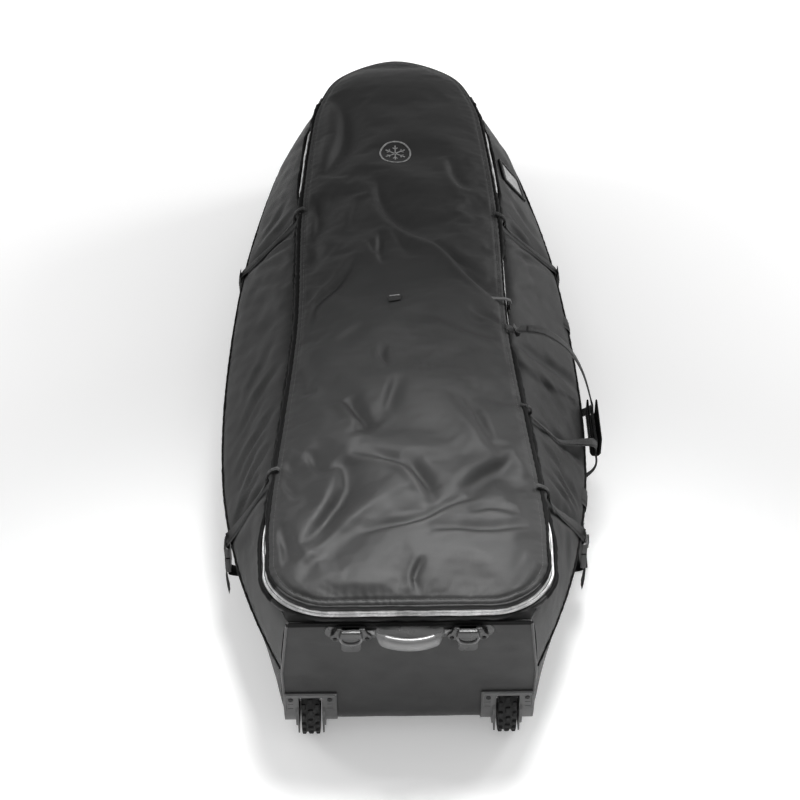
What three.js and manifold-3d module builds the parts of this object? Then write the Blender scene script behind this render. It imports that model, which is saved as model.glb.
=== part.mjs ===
// A wheeled, padded board bag lying on its back: +Z up, tail with the wheels at -Y, nose at +Y.
// Millimetres. The origin is on the flat underside of the back panel, halfway along the bag.
// "s" is the distance from the tail face towards the nose.
import * as THREE from 'three';
import { mergeVertices } from 'three/addons/utils/BufferGeometryUtils.js';
import Module from 'manifold-3d';

const wasm = await Module();
wasm.setup();

// ---- Driving dimensions ----
const LENGTH = 1450;
const TAIL_Y = -LENGTH / 2;
const GAP = 0.3;                 // between pieces that touch
const PANEL = 10;                // padded panel thickness
const SIDE_INSET = 12;           // side padding, measured level
const LID_HEIGHT_TAIL = 300;
const LID_HEIGHT_NOSE = 268;
const LID_THICKNESS = 6;
const LID_CROWN = 18;
const LINING = 3;
const LINING_GAP = 1.5;
const BOARD = 3;                 // stiffening boards in the base and the tail
const RIM_HEIGHT = 30;           // zip and its two bindings, between lid and side
const RIM_FLARE = 5;             // how far the rim leans out over its height
const RIM_THICKNESS = 4;
const RIM_CORNER = 55;           // radius of the rim's corners at the tail
const CORNER_RADIUS = 50;        // bend between tail face and underside
const WRAP_END = 410;            // where the coated wrap stops and the back panel starts
const HINGE_S = 1290;            // the zip ends here, and the lid folds on this line
const TAIL_LIFT = 18;            // the wheels hold the tail end this high
const WRAP_END_LIFT = 14;
const LIFT_END = 650;            // from here to the nose the back lies on the floor

const WHEEL_X = 149;
const WHEEL_S = 34;
const WHEEL_RADIUS = 54;
const TYRE_WIDTH = 30;
const WELL_RADIUS = 60;
const WELL_WIDTH = 35;
const WELL_WALL = 2.5;
const CHEEK = 5;                 // raised ribs on both sides of the wheel
const PLATE_HALF = 40;
const PLATE_THICKNESS = 3;
const PLATE_TOP = 92;            // how far the wheel plate climbs the tail face
const PLATE_NECK_S = 108;
const PLATE_END_S = 178;
const AXLE_RADIUS = 4;
const BEARING_RADIUS = 11;
const BEARING_WIDTH = 7;
const HUB_RADIUS = 38;

const HANDLE_LENGTH = 247;
const HANDLE_DROP = 48;          // handle centre below the lid edge
const GRIP_BOW = 21;
const RAIL_WIDTH = 14;
const WEBBING = 25;
const WIDE_WEBBING = 38;
const WEBBING_THICKNESS = 2;
const STRAP_OFFSET = 3.5;        // webbing's middle above the cloth
const LID_REACH = 60;            // girth -1 is this far in from the lid's edge

// ---- Outlines: half-widths of the bag at these distances from the tail, then the round nose ----
const STATIONS = [0, 110, 230, 400, 640, 930, 1180];

class Outline {
  constructor(halfWidths, noseShoulders, noseS) {
    const right = STATIONS.map((s, i) => new THREE.Vector2(halfWidths[i], s));
    right.push(...noseShoulders.map(([x, s]) => new THREE.Vector2(x, s)));
    const left = right.map((p) => new THREE.Vector2(-p.x, p.y)).reverse();
    this.curve = new THREE.SplineCurve([...right, new THREE.Vector2(0, noseS), ...left]);
  }

  // t runs from 0 at the tail to 1 at the nose, on the right-hand side.
  point(t) {
    return this.curve.getPoint(t / 2);
  }

  outward(t) {
    const along = this.curve.getTangent(Math.min(t / 2, 0.5));
    return new THREE.Vector2(along.y, -along.x);
  }

  t(s) {
    let low = 0;
    let high = 1;
    for (let i = 0; i < 40; i += 1) {
      const middle = (low + high) / 2;
      if (this.point(middle).y < s) low = middle;
      else high = middle;
    }
    return low;
  }

  halfWidth(s) {
    return this.point(this.t(s)).x;
  }
}

const shellEdge = new Outline([178, 211, 211, 197, 181, 180, 166], [[150, 1290], [107, 1386]], 1440);
const ridge = new Outline([188, 232, 267, 294, 300, 282, 242], [[208, 1296], [140, 1396]], 1450);
const backEdge = new Outline([186, 190, 196, 210, 183, 176, 176], [[160, 1290], [112, 1385]], 1433);

const mix = THREE.MathUtils.lerp;
const lidHeight = (s) => mix(LID_HEIGHT_TAIL, LID_HEIGHT_NOSE, s / LENGTH);

function underside(s) {
  if (s < WRAP_END) return mix(TAIL_LIFT, WRAP_END_LIFT, Math.max(s, 0) / WRAP_END);
  if (s < LIFT_END) return mix(WRAP_END_LIFT, 0, (s - WRAP_END) / (LIFT_END - WRAP_END));
  return 0;
}

const ridgeHeight = (s) => (lidHeight(s) + underside(s)) / 2;
const lidHalf = (s) => shellEdge.halfWidth(s) - RIM_FLARE;
const lidTop = (x, s) => lidHeight(s) + LID_CROWN * Math.max(0, 1 - (x / lidHalf(s)) ** 2);
const at = (x, s, z) => new THREE.Vector3(x, TAIL_Y + s, z);

// ---- Solids ----

// One closed body between two matching grids of points.
function slab(outer, inner) {
  const rows = outer.length;
  const columns = outer[0].length;
  const positions = [...outer.flat(), ...inner.flat()].flatMap((p) => [p.x, p.y, p.z]);
  const top = (r, c) => r * columns + c;
  const bottom = (r, c) => rows * columns + r * columns + c;
  const faces = [];
  const quad = (a, b, c, d) => faces.push(a, b, c, a, c, d);
  for (let r = 0; r < rows - 1; r += 1) {
    for (let c = 0; c < columns - 1; c += 1) {
      quad(top(r, c), top(r, c + 1), top(r + 1, c + 1), top(r + 1, c));
      quad(bottom(r + 1, c), bottom(r + 1, c + 1), bottom(r, c + 1), bottom(r, c));
    }
    quad(top(r + 1, 0), bottom(r + 1, 0), bottom(r, 0), top(r, 0));
    quad(top(r, columns - 1), bottom(r, columns - 1), bottom(r + 1, columns - 1), top(r + 1, columns - 1));
  }
  for (let c = 0; c < columns - 1; c += 1) {
    quad(top(0, c), bottom(0, c), bottom(0, c + 1), top(0, c + 1));
    quad(top(rows - 1, c + 1), bottom(rows - 1, c + 1), bottom(rows - 1, c), top(rows - 1, c));
  }
  const geometry = new THREE.BufferGeometry();
  geometry.setAttribute('position', new THREE.Float32BufferAttribute(positions, 3));
  geometry.setIndex(signedVolume(positions, faces) > 0 ? faces : faces.reverse());
  return geometry;
}

function signedVolume(positions, faces) {
  const corner = (i) => new THREE.Vector3().fromArray(positions, faces[i] * 3);
  let volume = 0;
  for (let i = 0; i < faces.length; i += 3) {
    volume += corner(i).dot(corner(i + 1).cross(corner(i + 2))) / 6;
  }
  return volume;
}

function toSolid(geometry) {
  const plain = geometry.clone();
  plain.deleteAttribute('normal');
  plain.deleteAttribute('uv');
  const merged = mergeVertices(plain, 1e-4);
  return new wasm.Manifold(new wasm.Mesh({
    numProp: 3,
    vertProperties: new Float32Array(merged.attributes.position.array),
    triVerts: new Uint32Array(merged.index.array),
  }));
}

function toGeometry(solid) {
  const mesh = solid.getMesh();
  const geometry = new THREE.BufferGeometry();
  geometry.setAttribute('position', new THREE.BufferAttribute(mesh.vertProperties, 3));
  geometry.setIndex(new THREE.BufferAttribute(mesh.triVerts, 1));
  return geometry;
}

function join(...geometries) {
  return toGeometry(geometries.map(toSolid).reduce((whole, piece) => whole.add(piece)));
}

function cut(geometry, ...tools) {
  return toGeometry(tools.map(toSolid).reduce((whole, tool) => whole.subtract(tool), toSolid(geometry)));
}

function box(xs, ss, zs) {
  const geometry = new THREE.BoxGeometry(xs[1] - xs[0], ss[1] - ss[0], zs[1] - zs[0]);
  return geometry.translate((xs[0] + xs[1]) / 2, TAIL_Y + (ss[0] + ss[1]) / 2, (zs[0] + zs[1]) / 2);
}

// A round bar along X.
function bar(radius, x0, x1, s, z, sides = 24) {
  const geometry = new THREE.CylinderGeometry(radius, radius, x1 - x0, sides).rotateZ(Math.PI / 2);
  return geometry.translate((x0 + x1) / 2, TAIL_Y + s, z);
}

// A ring turned round an axis along X; profile points are [radius, place along the axis].
function turned(profile, x, s, z, segments = 30) {
  const points = [...profile, profile[0]].map(([r, a]) => new THREE.Vector2(r, a));
  return new THREE.LatheGeometry(points, segments).rotateZ(-Math.PI / 2).translate(x, TAIL_Y + s, z);
}

// An outline of [s, z] points drawn across the width from x0 to x1.
function across(points, x0, x1) {
  const shape = new THREE.Shape(points.map(([s, z]) => new THREE.Vector2(s, z)));
  const geometry = new THREE.ExtrudeGeometry(shape, { depth: x1 - x0, bevelEnabled: false });
  return geometry.rotateX(Math.PI / 2).rotateZ(Math.PI / 2).translate(x0, TAIL_Y, 0);
}

// ---- Places on the bag's side ----

// Corner points of the section at s: on the lid, lid edge, shell edge, ridge, back edge.
function section(s) {
  const inLid = lidHalf(s) - LID_REACH;
  return [
    [inLid, lidTop(inLid, s)],
    [lidHalf(s), lidHeight(s)],
    [shellEdge.halfWidth(s), lidHeight(s) - RIM_HEIGHT],
    [ridge.halfWidth(s), ridgeHeight(s)],
    [backEdge.halfWidth(s), underside(s)],
  ].map(([x, z]) => new THREE.Vector2(x, z));
}

// The point at girth u (-1 on the lid, 0 lid edge, 1 shell edge, 2 ridge, 3 back edge),
// standing off the cloth, with the direction that faces away from the bag.
function onSide(side, s, u, off) {
  const corners = section(s);
  const faces = corners.slice(1).map((corner, i) => {
    const along = corner.clone().sub(corners[i]).normalize();
    return new THREE.Vector2(-along.y, along.x);
  });
  const cornerNormal = (i) => {
    const before = faces[Math.max(i - 1, 0)];
    const after = faces[Math.min(i, faces.length - 1)];
    return before.clone().add(after).normalize();
  };
  const k = Math.min(Math.floor(u + 1), corners.length - 2);
  const f = u + 1 - k;
  const base = corners[k].clone().lerp(corners[k + 1], f);
  const flat = cornerNormal(k).lerp(cornerNormal(k + 1), f);
  const ahead = section(s + 5);
  const next = ahead[k].clone().lerp(ahead[k + 1], f);
  const along = new THREE.Vector3(side * (next.x - base.x), 5, next.y - base.y).normalize();
  const normal = new THREE.Vector3(side * flat.x, 0, flat.y);
  normal.addScaledVector(along, -normal.dot(along)).normalize();
  return { point: at(side * base.x, s, base.y).addScaledVector(normal, off), normal };
}

// Webbing through a list of { point, normal } places.
function webbing(places, width, thickness = WEBBING_THICKNESS) {
  const outer = [];
  const inner = [];
  places.forEach(({ point, normal }, i) => {
    const before = places[Math.max(i - 1, 0)].point;
    const after = places[Math.min(i + 1, places.length - 1)].point;
    const along = after.clone().sub(before).normalize();
    const face = normal.clone().sub(along.clone().multiplyScalar(normal.dot(along))).normalize();
    const wide = face.clone().cross(along).multiplyScalar(width / 2);
    const half = face.clone().multiplyScalar(thickness / 2);
    outer.push([point.clone().sub(wide).add(half), point.clone().add(wide).add(half)]);
    inner.push([point.clone().sub(wide).sub(half), point.clone().add(wide).sub(half)]);
  });
  return slab(outer, inner);
}

// ---- The assembly ----
const bag = new THREE.Group();

function add(name, geometry, color, roughness = 0.9, metalness = 0) {
  const mesh = new THREE.Mesh(geometry, new THREE.MeshStandardMaterial({ color, roughness, metalness }));
  mesh.name = name;
  bag.add(mesh);
}

const CLOTH = 0x2b2b2c;
const COATED = 0x3a3b3c;
const TRIM = 0x121212;
const PLASTIC = 0x1c1c1d;
const SIDES = [['right', 1], ['left', -1]];

// Rows along the outlines: close together round the tail corner, then even to the nose.
const START_S = PANEL + GAP;
const sideRows = [START_S, 15, 21, 29, 39, CORNER_RADIUS, 80, WRAP_END, LIFT_END].map((s) => ridge.t(s));
const EVEN_ROWS = 28;
for (let i = 1; i <= EVEN_ROWS; i += 1) sideRows.push(mix(ridge.t(80), 1, i / EVEN_ROWS));
sideRows.sort((a, b) => a - b);

// Where the lower side panel ends: just inside the wrap's bend, then just above the back panel.
function lowerEdge(s) {
  const inside = CORNER_RADIUS - PANEL - GAP;
  const reach = THREE.MathUtils.clamp(CORNER_RADIUS - s, 0, inside);
  return underside(s) + CORNER_RADIUS - Math.sqrt(inside ** 2 - reach ** 2);
}

// A point of the side surface at row t, a fraction f of the way from one outline to the other.
function sidePoint(t, from, to, f, inset) {
  const a = from.outline.point(t);
  const b = to.outline.point(t);
  const middle = a.clone().lerp(b, f);
  const out = from.outline.outward(t).lerp(to.outline.outward(t), f).normalize();
  const place = middle.sub(out.multiplyScalar(inset));
  const s = THREE.MathUtils.clamp(place.y, START_S, LENGTH);
  return { x: Math.max(place.x, GAP / 2), s };
}

function sidePanel(side, from, to) {
  const grid = (inset) => sideRows.map((t) => [0, 0.5, 1].map((f) => {
    const { x, s } = sidePoint(t, from, to, mix(from.start(t), to.start(t), f), inset);
    return at(side * x, s, mix(from.height(s), to.height(s), f));
  }));
  return slab(grid(0), grid(SIDE_INSET));
}

function addSides() {
  const rim = { outline: shellEdge, start: () => 0, height: (s) => lidHeight(s) - RIM_HEIGHT - GAP };
  const aboveRidge = { outline: ridge, start: () => 1, height: (s) => ridgeHeight(s) + GAP / 2 };
  const belowRidge = { outline: ridge, start: () => 0, height: (s) => ridgeHeight(s) - GAP / 2 };
  const backStart = (t) => {
    const s = backEdge.point(t).y;
    return 1 - (lowerEdge(s) - underside(s)) / (ridgeHeight(s) - underside(s));
  };
  const back = { outline: backEdge, start: backStart, height: lowerEdge };
  for (const [name, side] of SIDES) {
    add(`side_${name}_upper`, sidePanel(side, rim, aboveRidge), CLOTH);
    add(`side_${name}_lower`, sidePanel(side, belowRidge, back), CLOTH);
  }
}

// A flat panel whose rows run from tail to nose.
function floorPanel(rows, halfWidth, bottom, thickness, flare = 0) {
  const grid = (lift, wider) => rows.map((s) => [-1, -0.35, 0.35, 1].map((f) => (
    at(f * (halfWidth(s) + wider), s, bottom(s) + lift))));
  return slab(grid(0, 0), grid(thickness, flare));
}

const evenly = (from, to, steps) => Array.from({ length: steps + 1 }, (_, i) => mix(from, to, i / steps));

function backPanelHalf(s) {
  return s < 1432 ? backEdge.halfWidth(s) : 0;
}

function addBack() {
  const rows = [...evenly(WRAP_END + GAP, LIFT_END, 4), ...evenly(LIFT_END + 60, 1230, 8),
    1280, 1320, 1355, 1385, 1406, 1421, 1430];
  add('back_panel', floorPanel(rows, backPanelHalf, underside, PANEL, 0), CLOTH);

  const boardRows = [62, 114, 115, 200, 300, WRAP_END, 500, LIFT_END - 30];
  const boardHalf = (s) => (s < 115 ? 104 : backEdge.halfWidth(s) - SIDE_INSET - 3);
  const boardBottom = (s) => underside(s) + PANEL + GAP;
  add('base_stiffener', floorPanel(boardRows, boardHalf, boardBottom, BOARD), 0x4a4a48, 0.6);
}

// The coated wrap: tail face, bend and the tail end of the underside in one piece.
function wrapGeometry() {
  const bend = evenly(0, 1, 6).map((f) => f * Math.PI / 2);
  const wallTop = lidHeight(0) - RIM_HEIGHT - GAP;
  const places = [
    { s: 0, z: wallTop, lean: 0 },
    { s: 0, z: 150, lean: 0 },
    ...bend.map((angle) => ({
      s: CORNER_RADIUS * (1 - Math.cos(angle)),
      z: TAIL_LIFT + CORNER_RADIUS * (1 - Math.sin(angle)),
      lean: angle,
    })),
    ...evenly(110, WRAP_END, 5).map((s) => ({ s, z: underside(s), lean: Math.PI / 2 })),
  ];
  const half = (s, z) => (s < CORNER_RADIUS ? mix(187, 178, z / wallTop) : backEdge.halfWidth(s));
  const grid = (inset) => places.map(({ s, z, lean }) => [-1, -0.35, 0.35, 1].map((f) => at(
    f * half(s, z), s + inset * Math.cos(lean), z + inset * Math.sin(lean))));
  return slab(grid(0), grid(PANEL - GAP));
}

function addWrap() {
  const reach = WELL_WIDTH / 2 + CHEEK + 1;
  const notches = [WHEEL_X, -WHEEL_X].map((x) => box(
    [x - reach, x + reach], [-20, WHEEL_S + WELL_RADIUS + WELL_WALL + 1],
    [-20, WHEEL_RADIUS + WELL_RADIUS + WELL_WALL + 1]));
  add('base_wrap', cut(wrapGeometry(), ...notches), COATED, 0.55);

  const rows = [75, 124, 125, lidHeight(0) - RIM_HEIGHT - 8];
  const half = (z) => (z < 125 ? 104 : 160);
  const grid = (inset) => rows.map((z) => [-1, 1].map((f) => at(f * half(z), PANEL + GAP + inset, z)));
  add('tail_stiffener', slab(grid(0), grid(BOARD)), 0x4a4a48, 0.6);
}

// ---- Lid and zip ----

// The rim's outline from the hinge line on the right, round the tail, to the hinge line on the left.
// Each place has its point and the level direction away from the bag.
function rimPlaces() {
  const side = [...evenly(HINGE_S, 300, 12), 260, 220, 180, 140, 112].map((s) => {
    const t = shellEdge.t(s);
    return { point: shellEdge.point(t), out: shellEdge.outward(t) };
  });
  const start = side[side.length - 1];
  const leanAngle = Math.atan2(start.out.y, start.out.x);
  const steps = 7;
  const corner = evenly(leanAngle, -Math.PI / 2, steps).slice(1).map((angle) => {
    const out = new THREE.Vector2(Math.cos(angle), Math.sin(angle));
    return { out, angle };
  });
  // The corner is an arc squeezed to end on the tail line.
  const centre = new THREE.Vector2(start.point.x - RIM_CORNER * start.out.x, RIM_CORNER);
  const sweep = corner.map(({ out }) => ({
    point: new THREE.Vector2(centre.x + RIM_CORNER * out.x, centre.y + RIM_CORNER * out.y),
    out,
  }));
  const right = [...side, ...sweep];
  const left = right.map(({ point, out }) => ({
    point: new THREE.Vector2(-point.x, point.y),
    out: new THREE.Vector2(-out.x, out.y),
  })).reverse();
  return [...right, ...left];
}

// A band of the rim between two depths below the lid edge.
function rimBand(places, from, to, [firstS, lastS], thickness = RIM_THICKNESS) {
  const grid = (inset) => places.map(({ point, out }) => [from, to].map((depth) => {
    const reach = RIM_FLARE * (depth / RIM_HEIGHT - 1) - inset;
    const place = point.clone().addScaledVector(out, reach);
    const s = THREE.MathUtils.clamp(place.y, firstS, lastS);
    return at(place.x, s, lidHeight(s) - depth);
  }));
  return slab(grid(0), grid(thickness));
}

// Rows of the lid: half-width of the rim's inner face at each s.
function lidRows(inset) {
  const places = rimPlaces();
  return places.slice(0, places.length / 2).map(({ point, out }) => {
    const place = point.clone().addScaledVector(out, -RIM_FLARE - RIM_THICKNESS - 1 - inset);
    return { half: place.x, s: place.y };
  });
}

const CROSS = [-1, -0.8, -0.55, -0.28, 0, 0.28, 0.55, 0.8, 1];

function crownedPlate(rows, lift, thickness) {
  const grid = (drop) => rows.map(({ half, s }) => CROSS.map((f) => {
    const x = f * half;
    const edge = Math.min(1, s / 160);
    const crown = (lidTop(x, s) - lidHeight(s)) * edge;
    return at(x, s, lidHeight(s) + crown + lift - drop);
  }));
  return slab(grid(0), grid(thickness));
}

function addLid() {
  const hingeGap = 0.6;
  const rows = lidRows(0).map(({ half, s }, i) => ({ half, s: i === 0 ? HINGE_S - hingeGap : s }));
  add('lid_panel', crownedPlate(rows, 0, LID_THICKNESS), CLOTH);
  const liningRows = lidRows(8).map(({ half, s }, i) => ({ half, s: i === 0 ? HINGE_S - 6 : s }));
  add('lid_lining', crownedPlate(liningRows, -LID_THICKNESS - LINING_GAP, LINING), 0x1e1e20);

  const places = rimPlaces();
  const reach = [-100, HINGE_S - hingeGap];
  add('lid_edge_binding', rimBand(places, 0, 10, reach), TRIM);
  add('zip_track_lid', rimBand(places, 10 + GAP, 15.5, reach), 0x8d8f91, 0.6);
  add('zip_track_shell', rimBand(places, 15.5 + GAP, 21, reach), 0x8d8f91, 0.6);
  add('shell_edge_binding', rimBand(places, 21 + GAP, RIM_HEIGHT, reach), TRIM);

  add('lid_nose', noseCover(), CLOTH);
}

// Beyond the hinge line the lid is sewn to the sides: a plate with a skirt round the nose.
function noseCover() {
  const ts = evenly(shellEdge.t(HINGE_S), 1, 8);
  const edge = ts.map((t) => ({ point: shellEdge.point(t), out: shellEdge.outward(t) }));
  const plateRows = edge.map(({ point }, i) => {
    const s = i === 0 ? HINGE_S : Math.min(point.y, 1434);
    return { half: Math.max(point.x - RIM_FLARE - 1, 12), s };
  });
  const spread = plateRows.filter(({ s }, i) => i === 0 || s > plateRows[i - 1].s + 3);
  const plate = crownedPlate(spread, 0, LID_THICKNESS);
  const whole = [...edge, ...edge.slice(0, -1).reverse().map(({ point, out }) => ({
    point: new THREE.Vector2(-point.x, point.y), out: new THREE.Vector2(-out.x, out.y),
  }))];
  return join(plate, rimBand(whole, 0, RIM_HEIGHT, [HINGE_S, LENGTH], RIM_THICKNESS + 4));
}

const SLIDER_S = 690;
const PULL_LENGTH = 45;

function addZipSlider() {
  const where = (u, off) => onSide(1, SLIDER_S, u, off);
  const { point, normal } = where(0.52, 0);
  const down = where(0.9, 0).point.sub(where(0.1, 0).point).normalize();
  const turn = new THREE.Matrix4().makeBasis(new THREE.Vector3(0, -1, 0), down, normal);
  const place = new THREE.Matrix4().setPosition(point).multiply(turn);
  const body = new THREE.BoxGeometry(22, 11, 3).translate(0, 0, 3.2);
  const bridge = new THREE.BoxGeometry(12, 3, 4).translate(0, -1, 6);
  add('zip_slider', join(body, bridge).applyMatrix4(place), 0x2a2a2a, 0.4, 0.7);

  const tab = [0.35, 0.1, -0.1, -0.3, -0.55, -0.8].map((u) => onSide(1, SLIDER_S, u, 0));
  const lifts = [10.6, 10.5, 9, 6.5, 5, 4.5];
  const places = tab.map(({ point: p, normal: n }, i) => ({ point: p.addScaledVector(n, lifts[i]), normal: n }));
  add('zip_pull', webbing(places, 6, 2.4), 0x555759, 0.5);
}

// ---- Wheels ----

function bendOutline(offset, reach, top) {
  const radius = CORNER_RADIUS + offset;
  const arc = evenly(0, 1, 8).map((f) => f * Math.PI / 2).map((angle) => [
    CORNER_RADIUS - radius * Math.cos(angle),
    TAIL_LIFT + CORNER_RADIUS - radius * Math.sin(angle),
  ]);
  return [[-offset, TAIL_LIFT + top], ...arc, [reach, underside(reach) - offset]];
}

// Plate of even thickness that follows the tail face, the bend and the underside.
function cornerPlate(x0, x1, reach, top, from, thickness) {
  const inside = bendOutline(from, reach, top);
  const outside = bendOutline(from + thickness, reach, top).reverse();
  return across([...inside, ...outside], x0, x1);
}

function wheelHousing(x) {
  const plate = cornerPlate(x - PLATE_HALF, x + PLATE_HALF, PLATE_NECK_S, PLATE_TOP, GAP, PLATE_THICKNESS);
  const neck = cornerPlate(x - 21, x + 21, PLATE_END_S, 60, GAP, PLATE_THICKNESS);
  const inner = WELL_WIDTH / 2;
  const outer = inner + WELL_WALL;
  const skin = bendOutline(GAP + 1, 106, 64).reverse();
  const ramp = [[-8, 74], [-10, 60], [-5, 38], [8, 21], [26, 10], [50, 5], [88, 6]];
  const cheeks = [x - inner - CHEEK, x + inner].map((low) => across([...ramp, ...skin], low, low + CHEEK));
  const drum = bar(WELL_RADIUS + WELL_WALL, x - outer, x + outer, WHEEL_S, WHEEL_RADIUS, 32);
  const room = box([x - outer - 1, x + outer + 1], [-GAP - PLATE_THICKNESS + 1, 200], [TAIL_LIFT - 2, 200]);
  const drumInside = toGeometry(toSolid(drum).intersect(toSolid(room)));
  const hollow = bar(WELL_RADIUS, x - inner, x + inner, WHEEL_S, WHEEL_RADIUS, 32);
  const mouth = box([x - inner, x + inner], [-60, WHEEL_S], [-60, WHEEL_RADIUS]);
  const bore = bar(AXLE_RADIUS + GAP, x - 40, x + 40, WHEEL_S, WHEEL_RADIUS);
  return cut(join(plate, neck, ...cheeks, drumInside), hollow, mouth, bore);
}

function addWheels() {
  for (const [name, side] of SIDES) {
    const x = side * WHEEL_X;
    const hubHalf = 12;
    add(`wheel_housing_${name}`, wheelHousing(x), PLASTIC, 0.6);
    const tread = TYRE_WIDTH / 2;
    add(`tyre_${name}`, turned([
      [HUB_RADIUS + GAP, -hubHalf], [WHEEL_RADIUS - 7, -tread], [WHEEL_RADIUS - 2, -tread + 2],
      [WHEEL_RADIUS, -tread + 6], [WHEEL_RADIUS, tread - 6], [WHEEL_RADIUS - 2, tread - 2],
      [WHEEL_RADIUS - 7, tread], [HUB_RADIUS + GAP, hubHalf],
    ], x, WHEEL_S, WHEEL_RADIUS), 0x151515, 0.85);
    add(`wheel_hub_${name}`, turned([
      [BEARING_RADIUS + GAP, -hubHalf], [17, -hubHalf], [19, -4], [31, -4], [33, -hubHalf],
      [HUB_RADIUS, -hubHalf], [HUB_RADIUS, hubHalf], [33, hubHalf], [31, 4], [19, 4], [17, hubHalf],
      [BEARING_RADIUS + GAP, hubHalf],
    ], x, WHEEL_S, WHEEL_RADIUS), 0x2c2c2d, 0.5);
    const halfBearing = BEARING_WIDTH / 2;
    for (const [place, offset] of [['inner', -side], ['outer', side]]) {
      const middle = offset * (hubHalf - halfBearing);
      add(`bearing_${name}_${place}`, turned([
        [AXLE_RADIUS + GAP, -halfBearing], [BEARING_RADIUS, -halfBearing],
        [BEARING_RADIUS, halfBearing], [AXLE_RADIUS + GAP, halfBearing],
      ], x + middle, WHEEL_S, WHEEL_RADIUS, 16), 0xb8babd, 0.25, 1);
    }
    const axleHalf = WELL_WIDTH / 2 + WELL_WALL + 1.5;
    add(`axle_${name}`, bar(AXLE_RADIUS, x - axleHalf, x + axleHalf, WHEEL_S, WHEEL_RADIUS), 0xa5a7aa, 0.3, 1);
  }
}

// ---- Tail handle ----

function roundedPlate(half, tall, radius, s0, s1, x, z) {
  const shape = new THREE.Shape();
  shape.moveTo(-half + radius, -tall);
  shape.absarc(half - radius, -tall + radius, radius, -Math.PI / 2, 0);
  shape.absarc(half - radius, tall - radius, radius, 0, Math.PI / 2);
  shape.absarc(-half + radius, tall - radius, radius, Math.PI / 2, Math.PI);
  shape.absarc(-half + radius, -tall + radius, radius, Math.PI, Math.PI * 1.5);
  const geometry = new THREE.ExtrudeGeometry(shape, { depth: s1 - s0, bevelEnabled: false, curveSegments: 6 });
  return geometry.rotateX(Math.PI / 2).translate(x, TAIL_Y + s1, z);
}

const CAP_X = 90;
const CAP_HALF = 27;
const CAP_DEPTH = 16;
const BASE_THICKNESS = 2.5;

function addTailHandle() {
  const z = lidHeight(0) - HANDLE_DROP;
  const face = -GAP - BASE_THICKNESS;
  add('handle_base', roundedPlate(HANDLE_LENGTH / 2, 14, 13.9, face, -GAP, 0, z), PLASTIC, 0.5);
  for (const [name, side] of SIDES) {
    const front = face - GAP;
    const x = side * CAP_X;
    const cap = roundedPlate(CAP_HALF, 15, 7, front - CAP_DEPTH, front, x, z);
    const tongue = roundedPlate(16, 14, 6, front - CAP_DEPTH * 0.7, front, x, z - 12);
    const pocketXs = [x - side * (CAP_HALF + 1), x + side * 2].sort((a, b) => a - b);
    const pocket = box(pocketXs, [front - CAP_DEPTH + 2, front - 2], [z - 9.5, z + 9.5]);
    add(`handle_cap_${name}`, cut(join(cap, tongue), pocket), PLASTIC, 0.45);
  }
  const ends = CAP_X - 6;
  const steps = 24;
  const places = evenly(-ends, ends, steps).map((x) => {
    const rise = Math.max(0, Math.cos((x / (CAP_X - CAP_HALF - 2)) * Math.PI / 2));
    const bow = Math.abs(x) < CAP_X - CAP_HALF - 2 ? GRIP_BOW * rise ** 0.6 : 0;
    return { point: at(x, face - GAP - 4.5 - bow, z), normal: new THREE.Vector3(0, -1, 0) };
  });
  const outer = places.map(({ point }, i) => gripEdge(places, i, point, 1));
  const inner = places.map(({ point }, i) => gripEdge(places, i, point, -1));
  add('handle_grip', slab(outer, inner), 0x3c3d3e, 0.5);
}

// The grip is a flat strip at its ends and a thicker pad in the middle.
function gripEdge(places, i, point, sign) {
  const before = places[Math.max(i - 1, 0)].point;
  const after = places[Math.min(i + 1, places.length - 1)].point;
  const along = after.clone().sub(before).normalize();
  const face = new THREE.Vector3(along.y, -along.x, 0);
  const swell = THREE.MathUtils.smoothstep(58 - Math.abs(point.x), 0, 18);
  const half = mix(1.2, 4, swell);
  const tall = mix(8.5, 12, swell);
  const middle = point.clone().addScaledVector(face, sign * half);
  return [-tall, tall].map((dz) => middle.clone().add(new THREE.Vector3(0, 0, dz)));
}

function addSkidRail() {
  const rows = evenly(92, WRAP_END - 4, 4);
  add('skid_rail', floorPanel(rows, () => RAIL_WIDTH / 2, (s) => underside(s) - GAP - 8, 8), PLASTIC, 0.6);
  const footRows = [55, 60, 91.7];
  const footHalf = (s) => mix(14, 10, (s - 55) / 37);
  add('skid_foot', floorPanel(footRows, footHalf, (s) => underside(s) - GAP - (s < 58 ? 4 : 9),
    7 - 4), PLASTIC, 0.6);
}

// ---- Straps ----

const COMPRESSION = [['lower', 275], ['upper', 945]];
const BUCKLE_OFF = 7;            // the buckles hang this far outside the ridge
const BUCKLE_HALF_DEPTH = 4.5;
// Heights below the ridge: the male half, its tongue, then the female half.
const MALE_TOP = 8;
const MALE_END = 30;
const TONGUE_END = 38;
const SOCKET_END = 41;
const FEMALE_TOP = 31;
const FEMALE_END = 62;

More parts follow.
